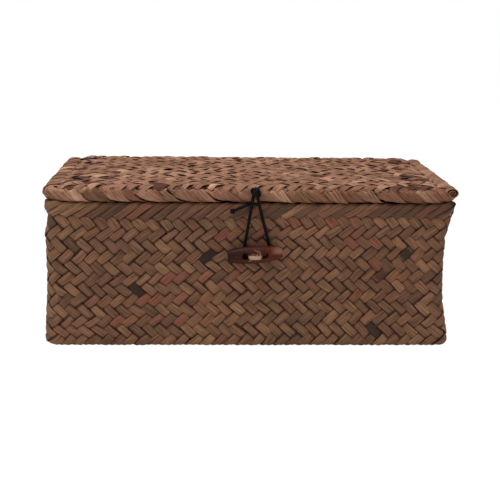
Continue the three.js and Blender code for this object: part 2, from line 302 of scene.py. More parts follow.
def polished_wood():
    """Red-brown wood, grained along the toggle: painted shade makes it darker to the left, and a painted
    highlight makes the top of its slim end pale.
    """
    nodes = Nodes(bpy.data.materials.new("polished_wood"))
    tint = colours()
    place = nodes.add("ShaderNodeTexCoord").outputs["Object"]
    grain = nodes.noise(place, (60.0, 900.0, 900.0), 4.0, 0.6)
    figure = nodes.noise(place, (25.0, 160.0, 160.0))
    pores = nodes.noise(place, (260.0, 3200.0, 3200.0))
    x, _, z = nodes.add("ShaderNodeSeparateXYZ", {0: place}).outputs
    middle = (TOGGLE_LOW + TOGGLE_HIGH) / 2
    # Painted shade: the wood is painted darker towards the toggle's left end.
    across = nodes.spread(x, middle.x - 16 * MM, middle.x + 12 * MM, -0.16, 0.14)
    value = nodes.math("ADD", nodes.math("MULTIPLY", grain, 0.6), nodes.math("MULTIPLY", figure, 0.5))
    base = nodes.ramp(nodes.math("ADD", value, across), [(0.36, tint.wood_dark), (0.72, tint.wood_light)])
    base = nodes.mix(nodes.spread(pores, 0.6, 0.72, 0.0, 0.5), base, tint.wood_dark)
    # Painted highlight on top of the slim end, mottled by the wood's figure.
    at_end = nodes.spread(x, middle.x + 11 * MM, middle.x + 17 * MM)
    on_top = nodes.spread(z, middle.z + 0.2 * MM, middle.z + 2.6 * MM)
    patch = nodes.math("MULTIPLY", at_end, on_top)
    painted_highlight = nodes.math("MULTIPLY", patch, nodes.spread(figure, 0.35, 0.6, 0.3, 0.75))
    base = nodes.mix(painted_highlight, base, tint.wood_highlight)
    rough = nodes.spread(pores, 0.3, 0.7, 0.38, 0.5)
    return nodes.surface(base, rough, nodes.bump(grain, 0.05 * MM, 0.35), 0.1)


def darker(shade, share):
    return tuple(share * c for c in shade)


# How far the fibres' pattern turns along a cord, in radians a metre.
CORD_TWIST = 5200.0


def twisted_material(name, shade, fibre_dark, roughness):
    """Spun or braided fibre, with fine lines round a cord: lay holds the place along it and round it."""
    nodes = Nodes(bpy.data.materials.new(name))
    lay = nodes.add("ShaderNodeAttribute", attribute_name="lay").outputs["Vector"]
    along, cosine, sine = nodes.add("ShaderNodeSeparateXYZ", {0: lay}).outputs
    turn = nodes.math("MULTIPLY", along, CORD_TWIST)
    rising = nodes.math("MULTIPLY", nodes.math("SINE", turn), cosine)
    leaning = nodes.math("MULTIPLY", nodes.math("COSINE", turn), sine)
    crossing = nodes.math("SUBTRACT", rising, leaning)
    braid = nodes.math("MAXIMUM", nodes.math("ADD", rising, leaning), crossing)
    fuzz = nodes.noise(nodes.add("ShaderNodeTexCoord").outputs["Object"], 2600.0)
    fuzz = nodes.spread(fuzz, 0.3, 0.7, 0.0, 0.5)
    value = nodes.math("ADD", nodes.spread(braid, -0.4, 1.0, 0.0, 0.7), fuzz)
    base = nodes.mix(nodes.spread(value, 0.1, 1.0), fibre_dark, shade)
    # Painted shade: the twine is painted darker where it lies deeper, inside the toggle's holes.
    painted_hole_shade = nodes.add("ShaderNodeAttribute", attribute_name="shade").outputs["Fac"]
    base = nodes.mix(nodes.math("MULTIPLY", painted_hole_shade, 0.8), base, darker(fibre_dark, 0.15))
    return nodes.surface(base, roughness, nodes.bump(value, 0.12 * MM, 0.6), 0.12)


def elastic_material():
    black = colours().elastic
    return twisted_material("elastic_cord", black, darker(black, 0.35), 0.7)


def twine_material():
    pale = colours().twine
    return twisted_material("twisted_twine", pale, darker(pale, 0.5), 0.85)


def cane_material():
    nodes = Nodes(bpy.data.materials.new("peeled_cane"))
    cane = colours().cane
    grain = nodes.noise(nodes.add("ShaderNodeTexCoord").outputs["Object"], 700.0, 3.0)
    base = nodes.mix(nodes.spread(grain, 0.3, 0.7, 0.0, 0.6), cane, darker(cane, 0.55))
    return nodes.surface(base, 0.55, nodes.bump(grain, 0.06 * MM, 0.5))


def finish_material(name, maker):
    """The named material, made once."""
    return bpy.data.materials.get(name) or maker()


# Surfaces that strips are laid on


FLOOR_REACH = 5 * MM


def arc(radius, level, bend, start, steps):
    """Points of a quarter bend about a centre, from a start counted in half turns."""
    angles = [math.pi * (start + 0.5 * i / steps) for i in range(steps + 1)]
    return [(radius + bend * math.cos(angle), level + bend * math.sin(angle)) for angle in angles]


def side_profile(inset, top):
    """Side of a woven layer, as radius and height, from a little way under the box up to its top edge."""
    def wall(height):
        share = min(height / FOLD_BOTTOM, 1.0)
        drawn = WALL_BOW * math.sin(math.pi * share)
        return CORNER_RADIUS - FOLD_THICKNESS - CLEARANCE + BASE_SWELL * (1 - share) - drawn - inset

    bend = BASE_RADIUS - inset
    centre = wall(BASE_RADIUS) - bend
    steps = 24
    heights = [BASE_RADIUS + (top - BASE_RADIUS) * i / steps for i in range(1, steps + 1)]
    return [
        (centre - FLOOR_REACH, inset),
        (centre - FLOOR_REACH / 2, inset),
        *arc(centre, BASE_RADIUS, bend, -0.5, 10),
        *((wall(height), height) for height in heights),
    ]


class Profile:
    """A line of radius and height, read by the distance along it, with its outward normal."""

    def __init__(self, points, level=None):
        self.line = np.array(points, float)
        step = np.diff(self.line, axis=0)
        self.distance = np.concatenate([[0.0], np.cumsum(np.hypot(step[:, 0], step[:, 1]))])
        if level is not None:
            # Distances are counted so that, on the upright wall, they equal the height.
            at_level = int(np.argmin(np.abs(self.line[:, 1] - level)))
            self.distance += self.line[at_level, 1] - self.distance[at_level]
        run = np.gradient(self.line, axis=0)
        run /= np.linalg.norm(run, axis=1)[:, None]
        self.normal = np.stack([run[:, 1], -run[:, 0]], axis=1)

    def at(self, v):
        """Radius and height, and how far the normal leads out and up."""
        return [np.interp(v, self.distance, column) for column in (*self.line.T, *self.normal.T)]

    def stops(self, count):
        """Distances at even shares of the line's points."""
        last = len(self.line) - 1
        return np.interp(np.linspace(0, last, count), np.arange(last + 1), self.distance)


class Ring:
    """The way round a rectangle with round corners, from the front left corner, as seen from outside."""

    def __init__(self, span, middle_y, bend_length):
        self.span = span
        self.middle_y = middle_y
        self.bend = bend_length
        runs = [2 * span[0], bend_length, 2 * span[1], bend_length] * 2
        self.edges = np.concatenate([[0.0], np.cumsum(runs)])
        self.length = self.edges[-1]

    def at(self, u, radius):
        u = np.mod(u, self.length)
        side = np.clip(np.searchsorted(self.edges, u, side="right") - 1, 0, 7)
        along = u - self.edges[side]
        quarter = side // 2
        in_corner = side % 2 == 1
        turn = (quarter + np.where(in_corner, along / self.bend, 0.0)) * math.pi / 2
        out_x, out_y = np.sin(turn), -np.cos(turn)
        ends = np.array([(1, -1), (1, 1), (-1, 1), (-1, -1)], float) * self.span
        starts = np.roll(ends, 1, axis=0)
        ways = np.array([(1, 0), (0, 1), (-1, 0), (0, -1)], float)
        on_side = starts[quarter] + ways[quarter] * along[..., None]
        base = np.where(in_corner[..., None], ends[quarter], on_side)
        return base[..., 0] + radius * out_x, base[..., 1] + self.middle_y + radius * out_y


def ripples(rng, count, low, high, whole=None):
    """Waves with random directions. Where the surface closes on itself, whole is its length."""
    waves = []
    for _ in range(count):
        size = rng.uniform(low, high)
        angle = rng.uniform(0, math.pi)
        a = 2 * math.pi * math.cos(angle) / size
        b = 2 * math.pi * math.sin(angle) / size
        if whole:
            a = 2 * math.pi * round(a * whole / (2 * math.pi)) / whole
        waves.append((a, b, rng.uniform(0, 2 * math.pi)))
    return waves


def rippled(waves, u, v):
    return sum(np.sin(a * u + b * v + c) for a, b, c in waves) / math.sqrt(len(waves))


def wandered(waves, size, u, v):
    """A place moved by half of the waves along, and by the others across."""
    u = u + size * rippled(waves[:3], u, v)
    return u, v + size * rippled(waves[3:], u, v)


def part_way(value, low, high):
    """How far a value has got from low to high, from 0 to 1."""
    return np.clip((value - low) / (high - low), 0, 1)


def fading(share):
    """Falls gently from 1 to 0 as the share grows from 0 to 1."""
    return 0.5 + 0.5 * np.cos(math.pi * np.clip(share, 0, 1))


# Laying strips


class Weave:
    """A 2/2 twill: two families of strips, each of which goes over two and under two of the other.

    A place is told by two counts, k across the rising strips and m across the falling ones.
    """

    def __init__(self, pitch, row, surface, lift, crown, share, start, square=1.7, uneven=0.35, jumble=0.05):
        self.pitch, self.row, self.start = pitch, row, start
        self.surface, self.lift, self.crown = surface, lift, crown
        self.share, self.square, self.uneven, self.jumble = share, square, uneven, jumble
        self.taper = 0.11
        self.painted_shade_calm = None

    def place(self, k, m):
        return (k + m) * self.pitch / 2, self.start + (m - k) * self.row

    def over(self, row):
        return np.tanh(self.square * np.cos(math.pi * (row - 0.5) / 2)) / math.tanh(self.square)


# How fine a strip is: places along two of its crossings, closer together where it dives, and across it.
FINE = ((0.5, 0.95, 1.28, 1.5, 1.72, 2.05), np.array([-0.5, -0.34, 0.34, 0.5]))
PLAIN = ((0.5, 0.8, 1.5, 2.2), np.array([-0.5, 0.0, 0.5]))
LEAST_STEP = 0.12


def row_samples(first, last, steps):
    found = {first, last}
    for base in range(math.floor(first), math.ceil(last), 2):
        found |= {base + step for step in steps if first + LEAST_STEP < base + step < last - LEAST_STEP}
    return np.array(sorted(found))


# Strips are shaded smooth up to this angle.
STRIP_EDGE = math.radians(40)


class Plait:
    """Strips gathered into one mesh: flat grids first, which are then bent into place.

    It draws its own numbers, and its waves give the strips their mottling.
    """

    def __init__(self, name, seed, whole=None):
        self.name = name
        self.rng = np.random.default_rng(seed)
        self.waves = ripples(self.rng, 5, 40 * MM, 160 * MM, whole)
        self.mesh = bmesh.new()
        self.points = []
        self.tones = []
        self.places = []

    def strip(self, points, tones, along, across):
        """Adds a strip: rows by columns of points, its tones, and where its fibres are along and across."""
        rows, columns = points.shape[:2]
        bmesh.ops.create_grid(self.mesh, x_segments=columns - 1, y_segments=rows - 1, size=0.5)
        self.points.append(points.reshape(-1, 3))
        for found, parts in ((self.tones, tones), (self.places, (along, across))):
            spread = [np.broadcast_to(part, (rows, columns)) for part in parts]
            found.append(np.stack(spread, axis=-1).reshape(-1, len(parts)))

    def finish(self, material, thickness):
        mesh = bpy.data.meshes.new(self.name)
        self.mesh.to_mesh(mesh)
        self.mesh.free()
        mesh.vertices.foreach_set("co", np.concatenate(self.points).astype(np.float32).ravel())
        tone = mesh.attributes.new(name="tone", type="FLOAT_COLOR", domain="POINT")
        tone.data.foreach_set("color", np.concatenate(self.tones).astype(np.float32).ravel())
        corner = np.zeros(len(mesh.loops), np.int32)
        mesh.loops.foreach_get("vertex_index", corner)
        layer = mesh.uv_layers.new(name="strip")
        layer.data.foreach_set("uv", np.concatenate(self.places)[corner].astype(np.float32).ravel())
        mesh.materials.append(material)
        piece = bpy.data.objects.new(self.name, mesh)
        bpy.context.scene.collection.objects.link(piece)
        wall = piece.modifiers.new("thickness", "SOLIDIFY")
        wall.thickness = thickness
        wall.offset = 0.0
        settle(piece, STRIP_EDGE)
        return piece


def settle(piece, sharp=None):
    """Applies a piece's modifiers, and shades it smooth between its sharp edges."""
    bpy.context.view_layer.update()
    graph = bpy.context.evaluated_depsgraph_get()
    shaped = piece.evaluated_get(graph)
    settled = bpy.data.meshes.new_from_object(shaped, preserve_all_data_layers=True, depsgraph=graph)
    settled.name = piece.name
    raw = piece.data
    piece.modifiers.clear()
    piece.data = settled
    bpy.data.meshes.remove(raw)
    settled.polygons.foreach_set("use_smooth", np.ones(len(settled.polygons), bool))
    if sharp is not None:
        settled.set_sharp_from_angle(angle=sharp)


def strip_tone(rng, red_share):
    """A strip's own tone and redness."""
    tone = float(np.clip(rng.normal(0.5, 0.13), 0.05, 0.98))
    red = float(rng.uniform(0.25, 0.6)) if rng.random() < red_share else float(rng.uniform(0.0, 0.22))
    return tone, red


# A strip's tones: how light, red and stained it is, and how clear it is of the painted shade where it dives.
TONE, RED, STAIN = 0, 1, 2


# The two families of strips in a weave.
RISING, FALLING = True, False
# Factors that scatter the numbers of floats.
SCATTER = (12.9898, 78.233, 43758.5453)
# How far the fibres of one strip are shifted from those of the next, and the share of it that they cover.
FIBRE_SHIFT = 0.37
FIBRE_SHARE = 0.98


def lay_family(plait, weave, rising, index, first, last, detail, marks, red_share, tuck=0.0):
    """Lays one strip of a weave from its first to its last row. Its ends sink by the tuck."""
    rng, waves = plait.rng, plait.waves
    share = weave.share * rng.uniform(0.98 - 2.4 * weave.jumble, 1.0 + 1.5 * weave.jumble)
    aside = rng.normal(0.0, 0.7 * weave.jumble)
    tilt = rng.normal(0.0, 0.13) * MM
    grid_f, grid_r = np.meshgrid(detail[1], row_samples(first, last, detail[0]))
    phase = rng.uniform(0, 2 * math.pi, 4)
    sway = np.sin(0.71 * grid_r + phase[0]) + np.sin(1.37 * grid_r + phase[1])
    swell = np.sin(0.83 * grid_r + phase[2]) + np.sin(1.61 * grid_r + phase[3])
    spread = share * (1 + 0.9 * weave.jumble * swell)
    over = weave.over(grid_r) if rising else -weave.over(grid_r)
    # Over the others a strip fills out to a pillow, and it narrows where it dives.
    narrowing = grid_f * spread * weave.taper * (1 - np.clip(over, 0, 1)) ** 2
    side = index + aside + weave.jumble * sway + grid_f * spread - narrowing
    u, v = weave.place(side, index + grid_r) if rising else weave.place(index - grid_r, side)
    # Each float has its own height and tone, scattered by its number.
    float_count = np.floor((grid_r + (0.5 if rising else -1.5)) / 2)
    jitter = np.sin(float_count * SCATTER[0] + index * SCATTER[1]) * SCATTER[2]
    jitter = jitter - np.floor(jitter) - 0.5
    lift = over * weave.lift * (1 + weave.uneven * jitter * (over > 0))
    lift = lift - weave.crown * (2 * grid_f) ** 2 + tilt * grid_f * 2
    to_end = np.minimum(grid_r - first, last - grid_r)
    lift = lift - tuck * np.clip(1 - to_end / 0.7, 0, 1)
    tone, red = strip_tone(rng, red_share)
    tone = tone + 0.1 * rippled(waves, u, v) + 0.2 * jitter
    red = np.clip(red + 0.1 * rippled(waves, v, u), 0, 1)
    # Painted shade: the deeper a strip dives under the others, the lower this share and the darker it is
    # painted.
    clear_of_painted_shade = 0.5 + 0.5 * over
    if weave.painted_shade_calm:
        clear_of_painted_shade = np.maximum(clear_of_painted_shade, 0.64 * weave.painted_shade_calm(u, v))
    tones = [tone, red, 0.0, clear_of_painted_shade]
    for mark_rising, mark_index, mark_row, reach, change in marks:
        if mark_rising == rising and mark_index == index:
            near = np.abs(grid_r - mark_row) < reach
            for channel, value in change:
                tones[channel] = np.where(near, value, tones[channel])
    along = grid_r * math.hypot(weave.row, weave.pitch / 2) + index * FIBRE_SHIFT
    plait.strip(weave.surface(u, v, lift), tones, along, index + grid_f * FIBRE_SHARE + 0.5)


# The body

BODY_RING = Ring(BODY_SPAN, MIDDLE_Y, math.pi / 2 * 8.6 * MM)
BODY_SEED = 11
WANDER = 0.45 * MM
# How far the front's rows have drifted from even places: powers of the way to the right and of the way up,
# and the millimetres along and up that go with them.
FRONT_DRIFT = (
    (0, 0, -3.4, 1.4), (1, 0, 0.7, 4.1), (0, 1, -0.2, -2.4), (1, 1, 1.5, 3.1), (2, 0, -1.2, -1.8),
    (0, 2, 2.3, 1.4), (2, 1, -0.3, -0.9), (1, 2, -2.0, -3.2), (3, 0, -1.1, -3.4), (2, 2, -3.2, 4.2),
    (3, 1, -0.3, -1.1),
)
DRIFT_FADE = 60 * MM
# Height on the wall where the first row under the rim ends, and the rim's strips come out over it.
TOP_ROW = FOLD_BOTTOM - 0.4 * MM


def camera_turn():
    upright = Matrix.Rotation(math.pi / 2 - CAMERA_PITCH, 3, "X")
    return Matrix.Rotation(-CAMERA_YAW, 3, "Z") @ upright @ Matrix.Rotation(CAMERA_ROLL, 3, "Z")


def photo_pixels(points):
    """Pixels of the photograph where points on its near side show, and far outside it for the others."""
    seen = (points - np.array(CAMERA_PLACE)) @ np.array(camera_turn())
    scale = PHOTO_FOCAL / -seen[..., 2]
    middle = PHOTO_SIZE / 2
    pixels = np.stack([middle + seen[..., 0] * scale, middle - seen[..., 1] * scale], axis=-1)
    hidden = (points[..., 1] > MIDDLE_Y) & (points[..., 2] < FOLD_BOTTOM)
    return pixels + 10 * PHOTO_SIZE * hidden[..., None]


def wall_lean(level):
    """How far to the left the box leans at a height. Its rim and lid don't."""
    below = 1 - fading((FOLD_BOTTOM + 2 * MM - level) / (18 * MM))
    return WALL_LEAN * below * (0.6 + 0.4 * part_way(level, 0, 20 * MM))


def foot_bulge(u, level):
    """How far the front right corner swells to the right, low down."""
    corner = (BODY_RING.edges[1] + BODY_RING.edges[2]) / 2
    near = fading(np.abs(np.mod(u, BODY_RING.length) - corner) / (30 * MM))
    return FOOT_BULGE * near * fading(np.abs(level - 13 * MM) / (26 * MM))


def drift(u, v):
    """How far along and up the weave has drifted. This fades out past the front's two corners."""
    half = BODY_RING.edges[1] / 2
    from_middle = np.mod(u - half + BODY_RING.length / 2, BODY_RING.length) - BODY_RING.length / 2
    fade = np.clip(1 - (np.abs(from_middle) - half) / DRIFT_FADE, 0, 1)
    fade = fade * fade * (3 - 2 * fade) * MM
    right = np.clip(from_middle / half, -1, 1)
    high = part_way(v, 0, FOLD_BOTTOM)
    shares = [right**i * high**j for i, j, _, _ in FRONT_DRIFT]
    return [fade * sum(share * term[way] for share, term in zip(shares, FRONT_DRIFT)) for way in (2, 3)]


def body_weave(inset, wander, seed):
    """A layer of the body. Its surface turns the way round, the way up and a height into points."""
    rng = np.random.default_rng(seed)
    size = sizes()
    waves_u = ripples(rng, 5, 30 * MM, 90 * MM, BODY_RING.length)
    waves_v = ripples(rng, 5, 30 * MM, 90 * MM, BODY_RING.length)
    profile = Profile(side_profile(inset, RIM_HIGH.z - 3 * MM), FOLD_BOTTOM * 0.9)

    def moved(u, v):
        along, up = drift(u, v)
        up = (up + wander * rippled(waves_v, u, v)) * part_way(v, 4 * MM, 24 * MM)
        return u + along + wander * rippled(waves_u, u, v), v + up

    def surface(u, v, height):
        u, v = moved(u, v)
        radius, level, out, up = profile.at(v)
        height = height / np.hypot(out, up)
        x, y = BODY_RING.at(u, radius + height * out)
        return np.stack([x - wall_lean(level) + foot_bulge(u, level), y, level + height * up], axis=-1)

    weave = Weave(
        BODY_RING.length / size.strips_round, size.row_height, surface,
        size.strip_lift, size.strip_crown, size.strip_share, TOP_ROW - 3.5 * size.row_height,
    )
    weave.moved = moved
    weave.lowest = profile.distance[0]
    return weave


# Floats of the front that stand out: slant, how many crossings they reach, what changes, and to what at
# which pixels.
FRONT_MARKS = (
    (FALLING, 1.05, (STAIN,), ((136, 290, 0.9), (377, 328, 0.85))),
    (FALLING, 1.05, (TONE, RED), (
        (333, 222, 0.1, 1.0), (293, 222, 0.3, 0.85), (356, 222, 0.6, 0.6), (381, 221, 0.95, 0.5),
        (401, 241, 0.98, 0.4), (423, 263, 1.0, 0.35), (376, 262, 0.5, 0.95), (352, 241, 0.5, 0.9),
        (377, 241, 0.5, 0.8),
    )),
    (RISING, 1.05, (STAIN,), ((207, 254, 0.93),)),
    (RISING, 0.6, (STAIN,), ((402, 253, 0.85),)),
    (RISING, 0.9, (RED, STAIN), ((378, 272, 0.8, 0.65),)),
    (RISING, 1.05, (TONE, RED), (
        (140, 301, 0.35, 0.95), (156, 302, 0.4, 1.0), (182, 300, 0.7, 0.7), (207, 300, 0.7, 0.65),
        (165, 280, 0.4, 0.85), (181, 278, 0.55, 0.7), (207, 277, 0.7, 0.8), (235, 278, 0.65, 0.8),
        (257, 277, 0.95, 0.6), (116, 324, 0.3, 1.0), (130, 322, 0.7, 0.6), (155, 321, 0.75, 0.8),
        (182, 320, 0.6, 0.8), (207, 321, 0.9, 0.6), (112, 342, 0.8, 0.7), (355, 292, 0.6, 0.9),
        (260, 233, 0.6, 0.8), (240, 232, 0.6, 0.6), (225, 233, 0.4, 0.8), (285, 232, 0.5, 0.6),
        (312, 235, 0.8, 0.45), (388, 278, 0.6, 0.4),
    )),
)


def marked_floats(weave, marks, indices, rows):
    """The marked floats as strip and row numbers: those that the photograph shows nearest to the pixels."""
    floats = {}
    for rising, first in ((RISING, 0.5), (FALLING, 2.5)):
        index, row = np.meshgrid(indices, first + 4 * np.arange(*rows))
        k, m = (index, index + row) if rising else (index - row, index)
        u, v = weave.place(k, m)
        places = photo_pixels(weave.surface(u, v, np.full(u.shape, weave.lift)))
        floats[rising] = index, row, places
    found = []
    for rising, reach, channels, spots in marks:
        index, row, places = floats[rising]
        for column, line, *values in spots:
            nearest = np.argmin((places[..., 0] - column) ** 2 + (places[..., 1] - line) ** 2)
            change = tuple(zip(channels, values))
            found.append((rising, index.flat[nearest], row.flat[nearest], reach, change))
    return found


def weave_walls(name, weave, rising, top, detail, marks, material, seed):
    """One family of a layer's wall strips, as one piece."""
    plait = Plait(name, seed, BODY_RING.length)
    first, last = [(edge - weave.start) / weave.row for edge in (weave.lowest, top)]
    for index in range(sizes().strips_round):
        uneven_last = last + plait.rng.uniform(-0.1, 0.1)
        lay_family(plait, weave, rising, index, first, uneven_last, detail, marks, 0.08)
    return plait.finish(material, sizes().strip_thickness)


# Flat strips with fewer crossings than this are left out.
LEAST_ROWS = 1.2


def flat_range(weave, rising, index, half):
    """Rows between which a strip's middle line lies in a flat rectangle."""
    middle = -2 * index if rising else 2 * index
    reach = 2 / weave.pitch * half[0]
    low, high = [(edge - weave.start) / weave.row for edge in (-half[1], half[1])]
    return max(low, middle - reach), min(high, middle + reach)


def weave_flat(name, weave, half, detail, material, seed, red_share=0.12, tuck=0.0, ends=0.0, marks=()):
    """A flat mat of both families, inside a rectangle of two half lengths. Its ends are uneven."""
    plait = Plait(name, seed)
    most = math.ceil(half[0] / weave.pitch + half[1] / weave.row) + 2
    for rising in (RISING, FALLING):
        for index in range(-most, most + 1):
            first, last = flat_range(weave, rising, index, half)
            if last - first < LEAST_ROWS:
                continue
            first, last = [edge + ends * plait.rng.uniform(-1, 1) for edge in (first, last)]
            lay_family(plait, weave, rising, index, first, last, detail, marks, red_share, tuck)
    return plait.finish(material, sizes().strip_thickness)


def flat_surface(level, middle_y, facing, wander, waves, dome=0.0, half=(1.0, 1.0)):
    """A level mat. Facing is 1 for a face that looks up and -1 for one that looks down."""
    def surface(u, v, height):
        u, v = wandered(waves, wander, u, v)
        rise = dome * np.clip(1 - (v / half[1]) ** 2, 0, 1)
        return np.stack([u * facing, v + middle_y, level + rise + height * facing], axis=-1)

    return surface


def lid_surface(level, wander, waves, dome, half_x, half_y):
    """The lid's top: nearly level, rounded over at front and back, and tucked in at its short ends."""
    bend = 4.6 * MM

    def surface(u, v, height):
        u, v = wandered(waves, wander, u, v)
        past = np.clip(np.abs(v) - (half_y - bend), 0, None)
        angle = np.minimum(past / bend, math.pi / 2)
        drop = bend * (1 - np.cos(angle)) + np.clip(past - bend * math.pi / 2, 0, None)
        height = height * (1 - np.where(v < 0, 0.7, 0.3) * np.sin(angle))
        out = np.minimum(np.abs(v), half_y - bend) + (bend + height) * np.sin(angle)
        near_end = part_way(np.abs(u), half_x - 9 * MM, half_x) ** 2
        out = out - 2.4 * MM * near_end * np.sin(angle)
        rise = dome * np.clip(1 - (v / half_y) ** 2, 0, 1) - 1.2 * MM * near_end
        z = level + rise - drop + height * np.cos(angle)
        return np.stack([u, np.sign(v) * out + LID_MIDDLE_Y, z], axis=-1)

    return surface


def mat_weave(pitch, surface, lift, crown, share, square=1.9, uneven=0.3, jumble=0.05):
    """A weave with strips at right angles, for flat mats."""
    return Weave(pitch, pitch / 2, surface, lift, crown, share, -pitch / 4, square, uneven, jumble)


# The folded rim of the body


def rim_profile():
    """The way of a rim strip: out from under the wall's first floats, up, over the hoop and down inside."""
    outer = CORNER_RADIUS - 0.55 * MM
    inner = CORNER_RADIUS - 6.9 * MM + 0.55 * MM
    top = RIM_HIGH.z - 0.8 * MM
    outer_bend, inner_bend = 3.2 * MM, 2.4 * MM
    points = [
        (outer - 2.35 * MM, FOLD_BOTTOM - 4.6 * MM),
        (outer - 2.2 * MM, FOLD_BOTTOM - 2.2 * MM),
        (outer - 1.15 * MM, FOLD_BOTTOM - 0.4 * MM),
        (outer - 0.35 * MM, FOLD_BOTTOM + 1.2 * MM),
        (outer, FOLD_BOTTOM + 3.2 * MM),
        (outer, FOLD_BOTTOM + 6.0 * MM),
    ]
    points += arc(outer - outer_bend, top - outer_bend, outer_bend, 0.0, 4)
    points += arc(inner + inner_bend, top - inner_bend, inner_bend, 0.5, 4)
    points += [
        (inner, FOLD_BOTTOM + 5.5 * MM),
        (inner, FOLD_BOTTOM + 1.5 * MM),
        (inner + 0.3 * MM, FOLD_BOTTOM + 0.2 * MM),
        (inner + 0.9 * MM, FOLD_BOTTOM - 1.2 * MM),
    ]
    return points


RIM_STOPS = 27
RIM_LEAN = 1.4
RIM_CORNER_FLARE = 1.9 * MM
RIM_CORNER_RISE = 1.6 * MM


def lay_rim(material):
    size = sizes()
    weave = body_weave(OUTER_MIDDLE, WANDER, BODY_SEED)
    profile = Profile(rim_profile())
    start = profile.line[0, 1]
    pitch = weave.pitch
    slope = pitch / 2 / weave.row
    plait = Plait("body_rim_strips", 31, BODY_RING.length)
    rng = plait.rng
    for index in range(size.strips_round):
        share = size.strip_share * rng.uniform(0.9, 1.1)
        tone, red = strip_tone(rng, 0.14)
        tilt = (0.42 + rng.uniform(-0.2, 0.2)) * MM
        lean = RIM_LEAN * rng.uniform(0.97, 1.03)
        grid_f, grid_s = np.meshgrid(FINE[1], profile.stops(RIM_STOPS))
        # A strip's width runs square to its slant, so its edges start at different heights.
        up = np.clip(grid_s - grid_f * share * pitch / (2 * slope) * 0.92, 0, profile.distance[-1])
        level = start + up
        above = level - FOLD_BOTTOM
        centre_u = index * pitch + (level - weave.start) * slope + np.clip(above, 0, None) * (lean - slope)
        closed = 1 + (1.04 / share - 1) * part_way(above, 4 * MM, 8 * MM)
        rooted_u, rooted_v = weave.moved(centre_u, np.full(centre_u.shape, FOLD_BOTTOM))
        u = rooted_u + grid_f * share * closed * pitch
        # Low down, a strip comes out along the sawtooth of the row below it.
        sawtooth = np.clip(1 - above / (5 * MM), 0, 1)
        radius, _, out, _ = profile.at(up + (grid_s - up) * sawtooth)
        _, height, _, rise = profile.at(up)
        height = height + (rooted_v - FOLD_BOTTOM) * np.clip(1 - above / (7 * MM), 0, 1)
        lift = -size.strip_crown * (2 * grid_f) ** 2 - tilt * 2 * grid_f + rng.normal(0, 0.08) * MM
        at_corner = corner_share(BODY_RING, u) * part_way(above, 2.5 * MM, 9 * MM) ** 1.5
        x, y = BODY_RING.at(u, radius + lift * out + RIM_CORNER_FLARE * at_corner)
        z = height + lift * rise * (1 - sawtooth) + RIM_CORNER_RISE * at_corner
        tone = 0.4 + 2.8 * (tone - 0.5) + 0.12 * rippled(plait.waves, u, up)
        # Painted shade: darker towards the front's right side and the right end, lighter round the back and
        # the left end.
        tone = tone - 0.36 * np.sin(2 * math.pi * u / BODY_RING.length)
        # Painted shade where a rim strip comes out from under the wall's top row.
        tones = [tone, red, 0.0, part_way(grid_s + start - TOP_ROW, -1.5 * MM, 1.1 * MM)]
        along = grid_s * 1.7 + index * 0.41
        plait.strip(np.stack([x, y, z], axis=-1), tones, along, index + grid_f * FIBRE_SHARE + 0.5)
    return plait.finish(material, size.strip_thickness)


# The lid

# Floats of the lid that stand out, as on the front.
LID_MARKS = (
    (FALLING, 1.05, (STAIN,), ((95, 158, 0.85),)),
    (FALLING, 1.05, (RED, STAIN), (
        (91, 163, 0.8, 0.85), (86, 160, 0.8, 0.8), (79, 171, 0.9, 0.65), (112, 167, 0.8, 0.65),
        (118, 162, 0.8, 0.6), (78, 188, 0.9, 0.6), (95, 183, 0.8, 0.65), (161, 184, 0.8, 0.7),
        (390, 161, 0.9, 0.6), (404, 160, 0.9, 0.6), (407, 172, 0.8, 0.65), (425, 178, 0.9, 0.6),
    )),
    (FALLING, 0.6, (RED, STAIN), (
        (400, 168, 0.9, 0.7), (411, 183, 0.9, 0.75), (421, 184, 0.9, 0.7), (418, 190, 0.9, 0.6),
        (72, 190, 0.9, 0.7), (77, 177, 0.9, 0.7), (111, 179, 0.9, 0.7),
    )),
    (FALLING, 1.05, (RED, STAIN), ((322, 176, 0.7, 0.55),)),
    (FALLING, 1.05, (TONE, RED), ((317, 186, 1.0, 0.3),)),
    (RISING, 1.05, (STAIN,), ((89, 159, 0.9),)),
    (RISING, 1.05, (RED, STAIN), (
        (83, 167, 0.8, 0.75), (75, 183, 0.9, 0.7), (156, 186, 1.0, 0.65), (384, 170, 0.8, 0.85),
        (398, 160, 0.9, 0.65), (412, 165, 0.8, 0.7), (410, 180, 0.9, 0.6), (429, 186, 0.9, 0.55),
    )),
    (RISING, 0.6, (RED, STAIN), (
        (404, 175, 0.9, 0.7), (416, 187, 0.9, 0.7), (394, 186, 0.9, 0.5), (117, 172, 0.9, 0.7),
    )),
    (RISING, 1.05, (RED, STAIN), ((281, 161, 0.7, 0.6),)),
    (RISING, 1.05, (TONE,), ((128, 178, 1.0), (103, 178, 0.95))),
    (RISING, 1.05, (TONE, RED), ((247, 171, 1.1, 0.0), (212, 191, 1.0, 0.1))),
)

LID_RING = Ring(LID_SPAN, LID_MIDDLE_Y, math.pi / 2 * LID_CORNER)
LID_CORNER_RISE = 2.4 * MM


def corner_share(ring, u):
    """How near a place on a ring is to the middle of a corner, from 0 to 1."""
    middles = (ring.edges[1:8:2] + ring.edges[2:9:2]) / 2
    away = np.mod(u[..., None] - middles + ring.length / 2, ring.length) - ring.length / 2
    return fading(np.abs(away).min(axis=-1) / (ring.bend * 1.1))


